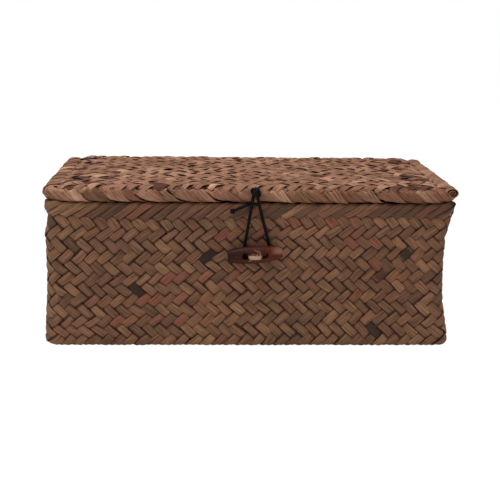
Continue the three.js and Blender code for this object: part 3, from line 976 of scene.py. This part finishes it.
def wrap_profile():
    """The way of a wrap round the lid's rolled rim, from the lining, under and over, into the top mat."""
    outer = LID_CORNER - 0.5 * MM
    low = LID_LOW.z - 0.5 * MM
    high = LID_HIGH.z - 1.3 * MM
    low_bend, high_bend = 5.4 * MM, 4.2 * MM
    lip = LID_CORNER - 13 * MM
    points = [
        (lip - 1.6 * MM, low + 5.0 * MM),
        (lip - 1.5 * MM, low + 2.6 * MM),
        (lip - 0.6 * MM, low + 0.7 * MM),
        (lip + 1.2 * MM, low),
        (lip + 4.5 * MM, low),
    ]
    points += arc(outer - low_bend, low + low_bend, low_bend, -0.5, 5)
    points += arc(outer - high_bend, high - high_bend, high_bend, 0.0, 5)
    tuck = outer - high_bend
    points += [
        (tuck - 4.0 * MM, high - 0.1 * MM),
        (tuck - 6.5 * MM, high - 0.6 * MM),
        (tuck - 8.2 * MM, high - 1.6 * MM),
        (tuck - 9.6 * MM, high - 2.6 * MM),
    ]
    return points


def short_side(u):
    """How far a place round the lid has got onto one of the two short sides, from 0 to 1."""
    u = np.mod(u, LID_RING.length)
    corner = LID_RING.bend
    share = 0.0
    for low, high in (LID_RING.edges[[1, 3]], LID_RING.edges[[5, 7]]):
        share = share + part_way(u, low, low + corner) * np.clip((high + corner - u) / corner, 0, 1)
    return share


def wrap_places(rng):
    """Where the wraps go round the lid, and how much they lean."""
    size = sizes()
    u = np.linspace(0, LID_RING.length * 0.9999, 2000)
    on_side = short_side(u)
    pitch = size.wrap_pitch * (1 + 0.1 * on_side)
    lean = 0.95 + 0.35 * on_side
    passed = np.concatenate([[0.0], np.cumsum(np.diff(u) / (pitch[1:] + pitch[:-1]) * 2)])
    count = round(passed[-1])
    stops = (np.arange(count) + rng.uniform(-0.24, 0.24, count)) * passed[-1] / count
    places = np.interp(stops, passed, u)
    return places, np.interp(places, u, pitch), np.interp(places, u, lean)


# Places across a wrap, and which point of its way is the middle of the rim's outer face.
WRAP_ACROSS = np.array([-0.5, -0.38, 0.0, 0.38, 0.5])
WRAP_MIDDLE = 10
WRAP_STOPS = 43
# Wraps of the front that stand out: pixel, and the change.
WRAP_MARKS = [
    (60, 195, {TONE: 0.75}), (75, 196, {TONE: 0.8}), (89, 197, {TONE: 0.15, STAIN: 0.22}),
    (105, 197, {TONE: 0.6, RED: 0.3}), (120, 197, {TONE: 0.2, RED: 0.5, STAIN: 0.15}),
    (290, 198, {TONE: 0.3}), (341, 199, {TONE: 0.25, RED: 0.5, STAIN: 0.1}),
    (384, 199, {TONE: 0.4, RED: 0.4}), (405, 199, {TONE: 0.25, RED: 0.5, STAIN: 0.12}),
    (420, 199, {TONE: 0.65}), (438, 198, {TONE: 0.5, RED: 0.4}),
]


def marked_wraps(places, radius, level):
    """The changes for each wrap, by its number."""
    x, y = LID_RING.at(places, radius)
    pixels = photo_pixels(np.stack([x, y, np.full(x.shape, level)], axis=-1))
    pixels = pixels + 10 * PHOTO_SIZE * (y > LID_MIDDLE_Y)[:, None]
    changes = {}
    for column, line, change in WRAP_MARKS:
        nearest = np.argmin((pixels[:, 0] - column) ** 2 + (pixels[:, 1] - line) ** 2)
        changes[int(nearest)] = change
    return changes


# The side's roll shows its open end at the front right corner: its middle, from the lid's far top front.
CURL_INSET = 5.3 * MM
CURL_DROP = 4.6 * MM
CURL_RADIUS = 3.9 * MM
CURL_WIDER = 1.25
CURL_LENGTH = 9.0 * MM
CURL_START = math.radians(182)
CURL_TURN = math.radians(600)
CURL_TIGHTENS = 0.66


def lay_corner_curl(plait):
    along, turned = np.meshgrid(np.linspace(-0.03, 0.9, 5), np.linspace(0, 1, 48))
    angle = CURL_START - CURL_TURN * turned
    radius = CURL_RADIUS * (1 - CURL_TIGHTENS * turned)
    x = LID_HIGH.x - CURL_INSET + CURL_WIDER * radius * np.cos(angle)
    y = LID_LOW.y + CURL_LENGTH * along + 0.25 * MM * np.sin(9 * turned)
    z = LID_HIGH.z - CURL_DROP + radius * np.sin(angle)
    # Painted shade inside the roll: its inner turns are painted darker, partly with the stained colour, and
    # it is painted darker deeper along the roll.
    tones = [0.75 - 0.4 * turned, 0.45, 0.12 * turned, np.clip(1.1 - 1.1 * along, 0, 1)]
    plait.strip(np.stack([x, y, z], axis=-1), tones, 60 * MM * turned, 1.4 * (along + 0.5))


def lay_wraps(material):
    profile = Profile(wrap_profile())
    widest = profile.line[:, 0].max()
    plait = Plait("lid_rim_wraps", 47, LID_RING.length)
    rng, waves = plait.rng, plait.waves
    middle = profile.distance[WRAP_MIDDLE]
    spots = wrap_places(rng)
    changes = marked_wraps(spots[0], *profile.line[WRAP_MIDDLE])
    for index, (place, pitch, usual_lean) in enumerate(zip(*spots)):
        width = pitch * rng.uniform(1.0, 1.3)
        tone, red = strip_tone(rng, 0.12)
        tilt = (0.6 + rng.uniform(-0.25, 0.3)) * MM
        lean = usual_lean * rng.uniform(0.75, 1.25)
        grid_f, grid_s = np.meshgrid(WRAP_ACROSS, profile.stops(WRAP_STOPS))
        up = np.clip(grid_s + grid_f * width * 0.45, 0, profile.distance[-1])
        u = place - (up - middle) * lean + grid_f * width
        bulge = 0.3 * MM * rippled(waves, 2.2 * u, up) + rng.normal(0, 0.12) * MM
        radius, height, out, rise = profile.at(up)
        # On the long sides a wrap goes in under the mat, which is bent down over it.
        under = (1 - short_side(u)) * part_way(up - middle, 4.0 * MM, 6.2 * MM)
        radius = radius - 2.2 * MM * under
        height = height - 1.6 * MM * under
        # The rim turns up a little at the corners, where the body's corners stand up to meet it.
        low = np.clip(1 - (height - LID_LOW.z) / (8 * MM), 0, 1)
        low = low * part_way(radius - widest, -5.5 * MM, -2.0 * MM)
        height = height + LID_CORNER_RISE * corner_share(LID_RING, u) * low
        tilted = tilt * (1 - 0.45 * short_side(u))
        lift = -0.45 * MM * (2 * grid_f) ** 2 + tilted * 2 * grid_f + bulge
        x, y = LID_RING.at(u, radius + lift * out)
        tones = [0.46 + 1.7 * (tone - 0.5), red, 0.0, 1.0]
        for channel, value in changes.get(index, {}).items():
            tones[channel] = value
        tones[TONE] = tones[TONE] + 0.14 * rippled(waves, u, up)
        points = np.stack([x, y, height + lift * rise], axis=-1)
        along = grid_s * 1.5 + index * 0.53
        plait.strip(points, tones, along, 1.4 * (index + grid_f * FIBRE_SHARE + 0.5))
    lay_corner_curl(plait)
    return plait.finish(material, sizes().strip_thickness * 1.2)


# Cords and twine


CURVE_STEPS = 24


def smooth_route(points, count):
    """A centripetal curve through given points, cut at even distances."""
    control = [Vector(p) for p in points]
    control = [2 * control[0] - control[1], *control, 2 * control[-1] - control[-2]]
    fine = []
    for a, b, c, d in zip(control, control[1:], control[2:], control[3:]):
        knots = [0.0]
        for start, end in ((a, b), (b, c), (c, d)):
            knots.append(knots[-1] + math.sqrt((end - start).length))
        t0, t1, t2, t3 = knots
        for i in range(CURVE_STEPS):
            t = t1 + (t2 - t1) * i / CURVE_STEPS
            p1 = a.lerp(b, (t - t0) / (t1 - t0))
            p2 = b.lerp(c, (t - t1) / (t2 - t1))
            p3 = c.lerp(d, (t - t2) / (t3 - t2))
            q1 = p1.lerp(p2, (t - t0) / (t2 - t0))
            q2 = p2.lerp(p3, (t - t1) / (t3 - t1))
            fine.append(q1.lerp(q2, (t - t1) / (t2 - t1)))
    fine.append(control[-2])
    return evenly(fine, count)


def evenly(points, count):
    line = np.array([tuple(p) for p in points])
    step = np.linalg.norm(np.diff(line, axis=0), axis=1)
    distance = np.concatenate([[0.0], np.cumsum(step)])
    stops = np.linspace(0, distance[-1], count)
    return [Vector([np.interp(s, distance, line[:, i]) for i in range(3)]) for s in stops]


def frames_along(points, closed=False):
    """A frame at each point, its Z along the line, turned as little as possible from one to the next."""
    count = len(points)
    tangents = []
    for i in range(count):
        before = points[i - 1] if i or closed else points[0]
        after = points[(i + 1) % count] if i + 1 < count or closed else points[-1]
        tangents.append((after - before).normalized())
    side = tangents[0].orthogonal().normalized()
    frames = []
    for point, tangent in zip(points, tangents):
        side = (side - tangent * side.dot(tangent)).normalized()
        other = tangent.cross(side)
        turn = Matrix((side, other, tangent)).transposed().to_4x4()
        frames.append(Matrix.Translation(point) @ turn)
    return frames


# How often the fibres' pattern repeats round a cord.
BRAID_TURNS = 4


def sweep(mesh, points, radius, sides, closed=False):
    """Extrudes a ring along points, with the place along and round it kept for the fibres' pattern."""
    lay = mesh.verts.layers.float_vector.get("lay") or mesh.verts.layers.float_vector.new("lay")
    verts = bmesh.ops.create_circle(mesh, cap_ends=False, radius=1.0, segments=sides)["verts"]
    edges = first_edges = list(dict.fromkeys(edge for vert in verts for edge in vert.link_edges))
    along, back = 0.0, Matrix.Identity(4)
    for i, turn in enumerate(frames_along(points, closed)):
        if i:
            grown = bmesh.ops.extrude_edge_only(mesh, edges=edges)["geom"]
            edges = [part for part in grown if isinstance(part, bmesh.types.BMEdge)]
            verts = [part for part in grown if isinstance(part, bmesh.types.BMVert)]
            along += (points[i] - points[i - 1]).length
        for vert in verts:
            local = back @ vert.co
            angle = BRAID_TURNS * math.atan2(local.y, local.x)
            vert[lay] = (along, math.cos(angle), math.sin(angle))
        place = turn @ Matrix.Scale(radius, 4)
        bmesh.ops.transform(mesh, matrix=place @ back, verts=verts)
        back = place.inverted()
    if closed:
        bmesh.ops.bridge_loops(mesh, edges=edges + first_edges)
    else:
        bmesh.ops.holes_fill(mesh, edges=edges + first_edges, sides=sides)


def piece_from(mesh, name, material, turn_out=True):
    """Makes an object of a bmesh, with its normals out."""
    if turn_out:
        bmesh.ops.recalc_face_normals(mesh, faces=mesh.faces)
    data = bpy.data.meshes.new(name)
    mesh.to_mesh(data)
    mesh.free()
    data.materials.append(material)
    data.polygons.foreach_set("use_smooth", np.ones(len(data.polygons), bool))
    piece = bpy.data.objects.new(name, data)
    bpy.context.scene.collection.objects.link(piece)
    return piece


def seat(piece, body, slot, *nodes):
    """Puts a finished piece on its body, and hides the nodes that it stands for. Its slot is not used."""
    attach(piece, body)
    if nodes:
        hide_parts(*nodes)


# Cord routes, in millimetres from the toggle's X and the box's middle plane.
TOGGLE_X = 2.8
LEFT_LEAD = [(-1.7, -86.1, 114.5), (-2.1, -85.6, 111), (-2.6, -85.15, 108)]
LOOP_ROUTE = [
    (-2.6, -85.15, 107.7), (-4.2, -84.4, 98), (-5.8, -83.2, 87), (-7.2, -82.1, 79), (-8.2, -81.5, 73.6),
    (-8.1, -81.3, 70.2), (-6.4, -81.25, 67.8), (-3.6, -81.25, 67), (0.6, -81.25, 66.9), (5.0, -81.25, 67),
    (8.2, -81.25, 67.8), (10.3, -81.3, 70.2), (10.8, -81.5, 73.6), (10.0, -82.1, 79), (8.0, -83.2, 87),
    (5.2, -84.4, 98), (2.7, -85.15, 107.7),
]
RIGHT_LEAD = [(2.7, -85.15, 108), (2.1, -85.6, 111), (1.7, -86.1, 114.5)]
TAIL_IN_KNOT = [(2.0, -88.4, 116.8), (1.6, -87.0, 118.4), (0.4, -85.2, 118.2)]
TAIL_ROUTE = [
    (0, -83.6, 117.4), (-0.2, -81.7, 116.6), (-0.8, -80.9, 113.6), (-1.7, -80.9, 110.8),
    (-3.2, -81.8, 108.9), (-4.9, -83.1, 107.9), (-7.2, -84.4, 107.2), (-9.8, -85.1, 106.3),
    (-12.4, -85.0, 105.0), (-14.6, -84.7, 103.9),
]
TAIL_KNOT = (-16.6, -84.4, 103.0)


def cord_points(places):
    return [Vector((TOGGLE_X + x, y + MIDDLE_Y / MM, z)) * MM for x, y, z in places]


TOGGLE_LENGTH = 40 * MM
TOGGLE_HEIGHT = 13 * MM
TOGGLE_ENDS = (9 * MM, 6.6 * MM)
TOGGLE_ROUNDING = (1.6 * MM, 0.5 * MM)
TOGGLE_TILT = math.radians(3.7)
HOLE_SPACING = 13.8 * MM
HOLE_DIAMETER = 5.2 * MM
HOLE_FLARE = 0.5 * MM


def toggle_outline():
    """Half the toggle's outline, from its blunt left end to its slimmer right end."""
    outline = []
    half = TOGGLE_LENGTH / 2
    steps = 12
    for sign, end, rounding in zip((-1, 1), TOGGLE_ENDS, TOGGLE_ROUNDING):
        side = [(half, 0.0), *arc(half - rounding, end / 2 - rounding, rounding, 0.0, 4)]
        for i in range(1, steps + (sign < 0)):
            place = half - rounding - (half - rounding) * i / steps
            side.append((place, end / 2 + (TOGGLE_HEIGHT - end) / 2 * (1 - (place / half) ** 2)))
        outline += [(sign * place, radius) for place, radius in side][::-sign]
    return outline


def hole_outline(depth):
    """Half the outline of a drill that flares where it breaks through both faces."""
    radius, face, past = HOLE_DIAMETER / 2, depth / 2 - 0.35 * MM, depth
    flared = radius + HOLE_FLARE
    upper = [(radius, face - HOLE_FLARE), (flared, face + HOLE_FLARE), (flared, past), (0.0, past)]
    return [(r, -place) for r, place in reversed(upper)] + upper


# Loose hairs of the toggle's twine, in millimetres: where each starts, how far it goes, and its curl.
TWINE_HAIRS = (
    (3.8, 1.0, -4.6, 5.0, 0.9), (3.2, 1.2, -1.2, 4.4, 1.0), (4.2, 0.8, -3.0, 2.6, -0.7),
    (2.4, 1.3, -5.2, 1.2, 0.8), (4.4, 0.4, -0.4, 2.4, 0.6), (-3.6, 0.6, 1.8, 1.9, -0.6),
    (-4.0, 0.2, -1.4, 1.6, 0.5), (-2.6, -1.2, -2.2, -1.2, 0.4),
)


# The toggle's twine: how far it goes to the sides, its plies' radius and winding, and its hairs' radius.
TWINE_REACH = 4.2 * MM
TWINE_PLY = 0.78 * MM
TWINE_WINDS = 9
HAIR_RADIUS = 0.11 * MM


def knot_points(centre, reach, turns, lobes, count, twist=0.0):
    """A closed cord wound round a ball: turns round its upright axis, and lobes in and out."""
    points = []
    for i in range(count):
        t = 2 * math.pi * i / count
        out = (2 + math.cos(lobes * t)) / 3
        angle = turns * t + twist
        way = (out * math.cos(angle), out * math.sin(angle), math.sin(lobes * t))
        points.append(centre + Vector([share * size for share, size in zip(way, reach)]))
    return points


def tie_knot(name, material, centre, reach, strand, count, sides, core, twist=0.0):
    """A knot: its wound cord, and a ball that fills its middle."""
    mesh = bmesh.new()
    wound = knot_points(centre, [size - strand for size in reach], 2, 3, count, twist)
    sweep(mesh, wound, strand, sides, closed=True)
    ball = Matrix.Translation(centre) @ Matrix.Diagonal((*(core * reach), 1.0))
    bmesh.ops.create_uvsphere(mesh, u_segments=16, v_segments=10, radius=1.0, matrix=ball)
    return piece_from(mesh, name, material)


def turned_on_lathe(outline, axis, steps):
    """A shape turned about an axis from half of its outline."""
    mesh = bmesh.new()
    verts = [mesh.verts.new(point) for point in outline]
    edges = [mesh.edges.new(pair) for pair in zip(verts, verts[1:])]
    bmesh.ops.spin(
        mesh, geom=verts + edges, cent=(0, 0, 0), axis=axis, dvec=(0, 0, 0),
        angle=2 * math.pi, steps=steps, use_merge=True, use_duplicate=False,
    )
    bmesh.ops.remove_doubles(mesh, verts=mesh.verts, dist=1e-6)
    return mesh


def pushed_out(value, power):
    """A sine or cosine pushed out to the corners of its circle."""
    return math.copysign(abs(value) ** power, value)


# Operators


class WOVENBOX_OT_camera(bpy.types.Operator):
    """Sets up the camera where the photograph was taken from"""

    bl_idname = "woven_box.camera"
    bl_label = "Camera"

    def execute(self, context):
        data = bpy.data.cameras.new("photo_camera")
        data.sensor_width = SENSOR_WIDTH
        data.lens = PHOTO_FOCAL * SENSOR_WIDTH / PHOTO_SIZE
        data.clip_start = 0.01
        data.clip_end = 50.0
        camera = bpy.data.objects.new("photo_camera", data)
        camera.location = CAMERA_PLACE
        camera.rotation_euler = camera_turn().to_euler()
        context.scene.collection.objects.link(camera)
        context.scene.camera = camera
        context.scene.view_settings.view_transform = "Standard"
        return {"FINISHED"}


class WOVENBOX_OT_elastic(bpy.types.Operator):
    """Ties the elastic cord: its knot on the lid, its loop and its loose tail"""

    bl_idname = "woven_box.elastic"
    bl_label = "Elastic cord"

    def execute(self, context):
        size = sizes()
        black = finish_material("elastic_cord", elastic_material)
        radius = size.cord_diameter / 2
        places = LEFT_LEAD[:-1] + LOOP_ROUTE + RIGHT_LEAD[1:]
        route = smooth_route(cord_points(places), 96)
        mesh = bmesh.new()
        sweep(mesh, route, radius, 16)
        loop = piece_from(mesh, "elastic_loop", black)
        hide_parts("cord_left_lead", "cord_right_lead", "cord_loop")
        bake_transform(loop)
        tail_route = smooth_route(cord_points(TAIL_IN_KNOT + TAIL_ROUTE), 48)
        mesh = bmesh.new()
        sweep(mesh, tail_route, radius, 16)
        tail = piece_from(mesh, "elastic_tail", black)
        seat(tail, "lid", "elastic", "cord_tail")
        low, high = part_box("cord_knot")
        centre, reach = (low + high) / 2, (high - low) / 2 * 1.1
        reach.z *= 1.18
        knot = tie_knot("elastic_knot", black, centre, reach, 0.86 * radius, 72, 12, core=0.82, twist=0.5)
        seat(knot, "lid", "elastic", "cord_knot")
        low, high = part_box("cord_tail_knot")
        centre, reach = cord_points([TAIL_KNOT])[0], (high - low) / 2
        stopper = tie_knot("elastic_tail_knot", black, centre, reach, 0.62 * radius, 48, 10, core=0.75)
        seat(stopper, "lid", "elastic", "cord_tail_knot")
        return {"FINISHED"}


class WOVENBOX_OT_body(bpy.types.Operator):
    """Plaits the body: its outer layer, its lining and both floors"""

    bl_idname = "woven_box.body"
    bl_label = "Body weave"

    def execute(self, context):
        size = sizes()
        straw = finish_material("seagrass_body", body_seagrass)
        outer = body_weave(OUTER_MIDDLE, WANDER, BODY_SEED)
        inner = body_weave(INNER_MIDDLE, WANDER, BODY_SEED + 1)
        inner.share, inner.taper, inner.jumble = 1.12, 0.0, 0.02
        marks = marked_floats(outer, FRONT_MARKS, np.arange(size.strips_round), (-6, 6))
        low, high = FOLD_BOTTOM - 5 * MM, FOLD_BOTTOM + 3 * MM
        for name, slot, node, weave, rising, top, detail, seed in (
            ("wall_rising_strips", "seagrass", "outer_basket", outer, RISING, low, FINE, 21),
            ("wall_falling_strips", "seagrass", "outer_basket", outer, FALLING, high, FINE, 22),
            ("lining_rising_strips", "lining", "inner_basket", inner, RISING, high, PLAIN, 23),
            ("lining_falling_strips", "lining", "inner_basket", inner, FALLING, high, PLAIN, 24),
        ):
            marked = marks if weave is outer else ()
            seat(weave_walls(name, weave, rising, top, detail, marked, straw, seed), "basket", slot, node)
        reach = (BODY_SPAN[0] + FLOOR_REACH, BODY_SPAN[1] + FLOOR_REACH)
        for name, slot, node, level, facing, seed in (
            ("floor_strips", "seagrass", "outer_basket", OUTER_MIDDLE + 0.5 * MM, -1, 25),
            ("lining_floor_strips", "lining", "inner_basket", INNER_MIDDLE + 0.8 * MM, 1, 26),
        ):
            waves = ripples(np.random.default_rng(seed), 6, 45 * MM, 110 * MM)
            surface = flat_surface(level, MIDDLE_Y, facing, 0.4 * MM, waves)
            pitch = 2 * size.row_height * 1.08
            lift = 0.8 * size.strip_lift
            floor = mat_weave(pitch, surface, lift, size.strip_crown, size.strip_share)
            seat(weave_flat(name, floor, reach, PLAIN, straw, seed), "basket", slot, node)
        return {"FINISHED"}


class WOVENBOX_OT_rim(bpy.types.Operator):
    """Folds the long rim strips over the body's hoop"""

    bl_idname = "woven_box.rim"
    bl_label = "Body rim"

    def execute(self, context):
        rim = lay_rim(finish_material("seagrass_body", body_seagrass))
        seat(rim, "basket", "seagrass", "body_rim_fold")
        return {"FINISHED"}


class WOVENBOX_OT_lid(bpy.types.Operator):
    """Plaits the lid's two mats"""

    bl_idname = "woven_box.lid"
    bl_label = "Lid mats"

    def execute(self, context):
        size = sizes()
        straw = finish_material("seagrass_lid", lid_seagrass)
        half_x, half_y = LID_HIGH.x, (LID_HIGH.y - LID_LOW.y) / 2
        for name, node, slot, half, seed in (
            ("lid_top_strips", "lid_top_mat", "seagrass", (half_x - 12.5 * MM, half_y - 0.4 * MM), 41),
            ("lid_lining_strips", "lid_under_mat", "lining", (half_x - 6.5 * MM, half_y - 6.5 * MM), 42),
        ):
            waves = ripples(np.random.default_rng(seed), 6, 35 * MM, 90 * MM)
            loose = {"square": 1.3, "uneven": 1.3, "jumble": 0.11}
            mat = mat_weave(size.lid_pitch, None, size.lid_lift, 0.7 * size.strip_crown, 1.0, **loose)
            marks = ()
            if node == "lid_top_mat":
                level = LID_HIGH.z - 1.1 * MM
                mat.surface = lid_surface(level, 1.1 * MM, waves, 0.6 * MM, half[0], half_y - 0.6 * MM)
                # Near the lid's front, less painted shade where its strips dive.
                mat.painted_shade_calm = lambda u, v: part_way(-v, half_y - 7 * MM, half_y - 2 * MM)
                marks = marked_floats(mat, LID_MARKS, np.arange(-40, 41), (-30, 30))
            else:
                level = UNDER_MAT_LOW.z + 1.1 * MM
                mat.surface = flat_surface(level, LID_MIDDLE_Y, -1, 1.1 * MM, waves, 0.6 * MM, half)
                mat.lift = 0.6 * size.lid_lift
                mat.share, mat.taper, mat.jumble = 1.14, 0.0, 0.05
            uneven = {"red_share": 0.28, "tuck": 0.9 * MM, "ends": 0.3, "marks": marks}
            piece = weave_flat(name, mat, half, FINE, straw, seed, **uneven)
            seat(piece, "lid", slot, node)
        return {"FINISHED"}


class WOVENBOX_OT_lid_rim(bpy.types.Operator):
    """Wraps the lid's rolled rim"""

    bl_idname = "woven_box.lid_rim"
    bl_label = "Lid rim"

    def execute(self, context):
        wraps = lay_wraps(finish_material("seagrass_lid", lid_seagrass))
        seat(wraps, "lid", "seagrass", "lid_rim_fold")
        return {"FINISHED"}


class WOVENBOX_OT_hoops(bpy.types.Operator):
    """Finishes the cane hoops inside both rims"""

    bl_idname = "woven_box.hoops"
    bl_label = "Cane hoops"

    def execute(self, context):
        cane = finish_material("peeled_cane", cane_material)
        for node in ("body_rim_hoop", "lid_rim_hoop"):
            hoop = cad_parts[node]
            hoop.data.materials.clear()
            hoop.data.materials.append(cane)
        return {"FINISHED"}


class WOVENBOX_OT_lacings(bpy.types.Operator):
    """Laces the lid to the back of the rim with twine"""

    bl_idname = "woven_box.lacings"
    bl_label = "Lacings"

    def execute(self, context):
        size = sizes()
        pale = finish_material("twisted_twine", twine_material)
        radius = size.twine_diameter / 2
        for number in range(1, 5):
            node = f"hinge_tie_{number}"
            low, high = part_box(node)
            centre = (low + high) / 2
            half = (high - low) / 2 - Vector((radius, radius, radius))
            mesh = bmesh.new()
            for side in (-1, 1):
                points = []
                for i in range(48):
                    t = 2 * math.pi * i / 48
                    y, z = half.y * pushed_out(math.cos(t), 0.5), half.z * pushed_out(math.sin(t), 0.5)
                    points.append(centre + Vector((side * radius, y, z)))
                sweep(mesh, points, radius * 0.98, 10, closed=True)
            tie = piece_from(mesh, f"twine_lacing_{number}", pale)
            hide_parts(node)
            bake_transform(tie)
        return {"FINISHED"}


class WOVENBOX_OT_toggle(bpy.types.Operator):
    """Turns the wooden toggle and drills its two holes"""

    bl_idname = "woven_box.toggle"
    bl_label = "Toggle"

    def execute(self, context):
        wood = finish_material("polished_wood", polished_wood)
        depth = TOGGLE_HIGH.y - TOGGLE_LOW.y
        centre = (TOGGLE_LOW + TOGGLE_HIGH) / 2
        centre.x = TOGGLE_X * MM
        mesh = turned_on_lathe([(x, 0.0, r) for x, r in toggle_outline()], (1, 0, 0), 56)
        bmesh.ops.scale(mesh, vec=(1.0, depth / TOGGLE_HEIGHT, 1.0), verts=mesh.verts)
        toggle = piece_from(mesh, "toggle_spindle", wood)
        cutters = []
        for side in (-1, 1):
            drill = turned_on_lathe([(r, y, 0.0) for r, y in hole_outline(depth)], (0, 1, 0), 32)
            bmesh.ops.translate(drill, vec=(side * HOLE_SPACING / 2, 0, 0), verts=drill.verts)
            cutter = piece_from(drill, "toggle_drill", wood)
            cutters.append(cutter)
            cut = toggle.modifiers.new("hole", "BOOLEAN")
            cut.operation = "DIFFERENCE"
            cut.object = cutter
            cut.solver = "EXACT"
        settle(toggle)
        for cutter in cutters:
            bpy.data.objects.remove(cutter)
        toggle.data.transform(Matrix.Translation(centre) @ Matrix.Rotation(-TOGGLE_TILT, 4, "Y"))
        toggle.data.set_sharp_from_angle(angle=math.radians(35))
        seat(toggle, "toggle", "toggle_wood", "toggle_button")
        return {"FINISHED"}


class WOVENBOX_OT_toggle_twine(bpy.types.Operator):
    """Threads the twine through the toggle and the wall, and knots it inside"""

    bl_idname = "woven_box.toggle_twine"
    bl_label = "Toggle twine"

    def execute(self, context):
        pale = finish_material("twisted_twine", twine_material)
        centre = (THREAD_LOW + THREAD_HIGH) / 2
        depth = (THREAD_HIGH.y - THREAD_LOW.y) / 2 - 0.9 * MM
        mesh = bmesh.new()
        centre.z -= 1.2 * MM
        count = 120
        for ply in range(3):
            points = []
            for i in range(count):
                t = 2 * math.pi * i / count
                c, s = math.cos(t), math.sin(t)
                turn = TWINE_WINDS * t + ply * math.pi / 1.5
                place = (TWINE_REACH * c, depth * pushed_out(s, 0.3), 0.75 * MM * math.sin(turn))
                out = Vector((c, s, 0.0)) * 0.4 * MM * math.cos(turn)
                points.append(centre + Vector(place) + out)
            sweep(mesh, points, TWINE_PLY, 8, closed=True)
        front = THREAD_LOW.y + 0.5 * MM
        for x, z, across, rise, curl in TWINE_HAIRS:
            start = Vector((centre.x + x * MM, front + 0.2 * MM, centre.z + z * MM))
            way = Vector((across, -0.1, rise)) * MM
            bend = Vector((curl, -0.3, curl * 0.5)) * MM
            hair = [start + way * (i / 8) + bend * math.sin(math.pi * i / 8) for i in range(9)]
            sweep(mesh, hair, HAIR_RADIUS, 5)
        # Painted shade: how far behind the toggle's face each point lies, which darkens the twine in the
        # holes.
        shade = mesh.verts.layers.float.new("shade")
        for vert in mesh.verts:
            vert[shade] = min(max((vert.co.y - front - 1.0 * MM) / (1.4 * MM), 0.0), 1.0)
        thread = piece_from(mesh, "toggle_twine", pale)
        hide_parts("toggle_thread")
        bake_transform(thread)
        low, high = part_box("toggle_thread_knot")
        middle, reach = (low + high) / 2, (high - low) / 2
        knot = tie_knot("toggle_twine_knot", pale, middle, reach, 0.7 * MM, 60, 10, core=0.7)
        seat(knot, "basket", "twine", "toggle_thread_knot")
        return {"FINISHED"}


# How much of the floor's own glow the camera sees, and half of the floor's width.
FLOOR_GLOW = 0.9
FLOOR_HALF = 6.0
# Lights: place, width and power.
SOFTBOXES = (
    ("overhead_softbox", Vector((-0.4, -0.15, 1.5)), 1.3, 25.5),
    ("front_softbox", Vector((-0.9, -1.5, 1.0)), 1.0, 2.6),
)
LIGHT_AIM = Vector((0, 0, 0.06))


class WOVENBOX_OT_stage(bpy.types.Operator):
    """Lays the pale floor and sets the soft studio light"""

    bl_idname = "woven_box.stage"
    bl_label = "Stage"

    def execute(self, context):
        tint = colours()
        nodes = Nodes(bpy.data.materials.new("stage_floor"))
        white = (1.0, 1.0, 1.0)
        diffuse = nodes.add("ShaderNodeBsdfDiffuse", {"Color": tint.floor})
        glow = nodes.add("ShaderNodeEmission", {"Color": white, "Strength": 1.08})
        path = nodes.add("ShaderNodeLightPath").outputs
        seen = nodes.math("MAXIMUM", path["Is Camera Ray"], path["Is Glossy Ray"])
        nodes.blend(nodes.math("MULTIPLY", seen, FLOOR_GLOW), diffuse, glow)
        mesh = bmesh.new()
        bmesh.ops.create_grid(mesh, x_segments=2, y_segments=2, size=FLOOR_HALF)
        floor = piece_from(mesh, "stage_floor", nodes.owner, turn_out=False)
        nodes = Nodes(bpy.data.worlds.new("studio"), "ShaderNodeOutputWorld")
        soft = nodes.add("ShaderNodeBackground", {"Color": (1.0, 0.985, 0.97), "Strength": 0.44})
        backdrop = nodes.add("ShaderNodeBackground", {"Color": white, "Strength": 1.0})
        nodes.blend(nodes.add("ShaderNodeLightPath").outputs["Is Camera Ray"], soft, backdrop)
        context.scene.world = nodes.owner
        for name, place, width, power in SOFTBOXES:
            data = bpy.data.lights.new(name, "AREA")
            data.shape = "SQUARE"
            data.size = width
            data.energy = power
            lamp = bpy.data.objects.new(name, data)
            lamp.location = place
            aim = LIGHT_AIM - place
            lamp.rotation_euler = aim.to_track_quat("-Z", "Y").to_euler()
            context.scene.collection.objects.link(lamp)
        return {"FINISHED"}


class VIEW3D_PT_woven_box(bpy.types.Panel):
    """Lists the steps that make the woven box"""

    bl_label = "Woven Box"
    bl_idname = "VIEW3D_PT_woven_box"
    bl_space_type = "VIEW_3D"
    bl_region_type = "UI"
    bl_category = "Woven Box"

    def draw(self, context):
        layout = self.layout
        for operator in OPERATORS:
            layout.operator(operator.bl_idname)
        for group in (context.scene.woven_box_sizes, context.scene.woven_box_colours):
            box = layout.box()
            for key in group.__annotations__:
                box.prop(group, key)


OPERATORS = (
    WOVENBOX_OT_camera,
    WOVENBOX_OT_elastic,
    WOVENBOX_OT_body,
    WOVENBOX_OT_rim,
    WOVENBOX_OT_lid,
    WOVENBOX_OT_lid_rim,
    WOVENBOX_OT_hoops,
    WOVENBOX_OT_lacings,
    WOVENBOX_OT_toggle,
    WOVENBOX_OT_toggle_twine,
    WOVENBOX_OT_stage,
)
CLASSES = (WovenBoxSizes, WovenBoxColours, *OPERATORS, VIEW3D_PT_woven_box)


def register():
    for each in CLASSES:
        bpy.utils.register_class(each)
    bpy.types.Scene.woven_box_sizes = PointerProperty(type=WovenBoxSizes)
    bpy.types.Scene.woven_box_colours = PointerProperty(type=WovenBoxColours)


def unregister():
    del bpy.types.Scene.woven_box_colours
    del bpy.types.Scene.woven_box_sizes
    for each in reversed(CLASSES):
        bpy.utils.unregister_class(each)


def main():
    register()
    for operator in OPERATORS:
        group, action = operator.bl_idname.split(".")
        getattr(getattr(bpy.ops, group), action)()


if __name__ == "__main__":
    main()
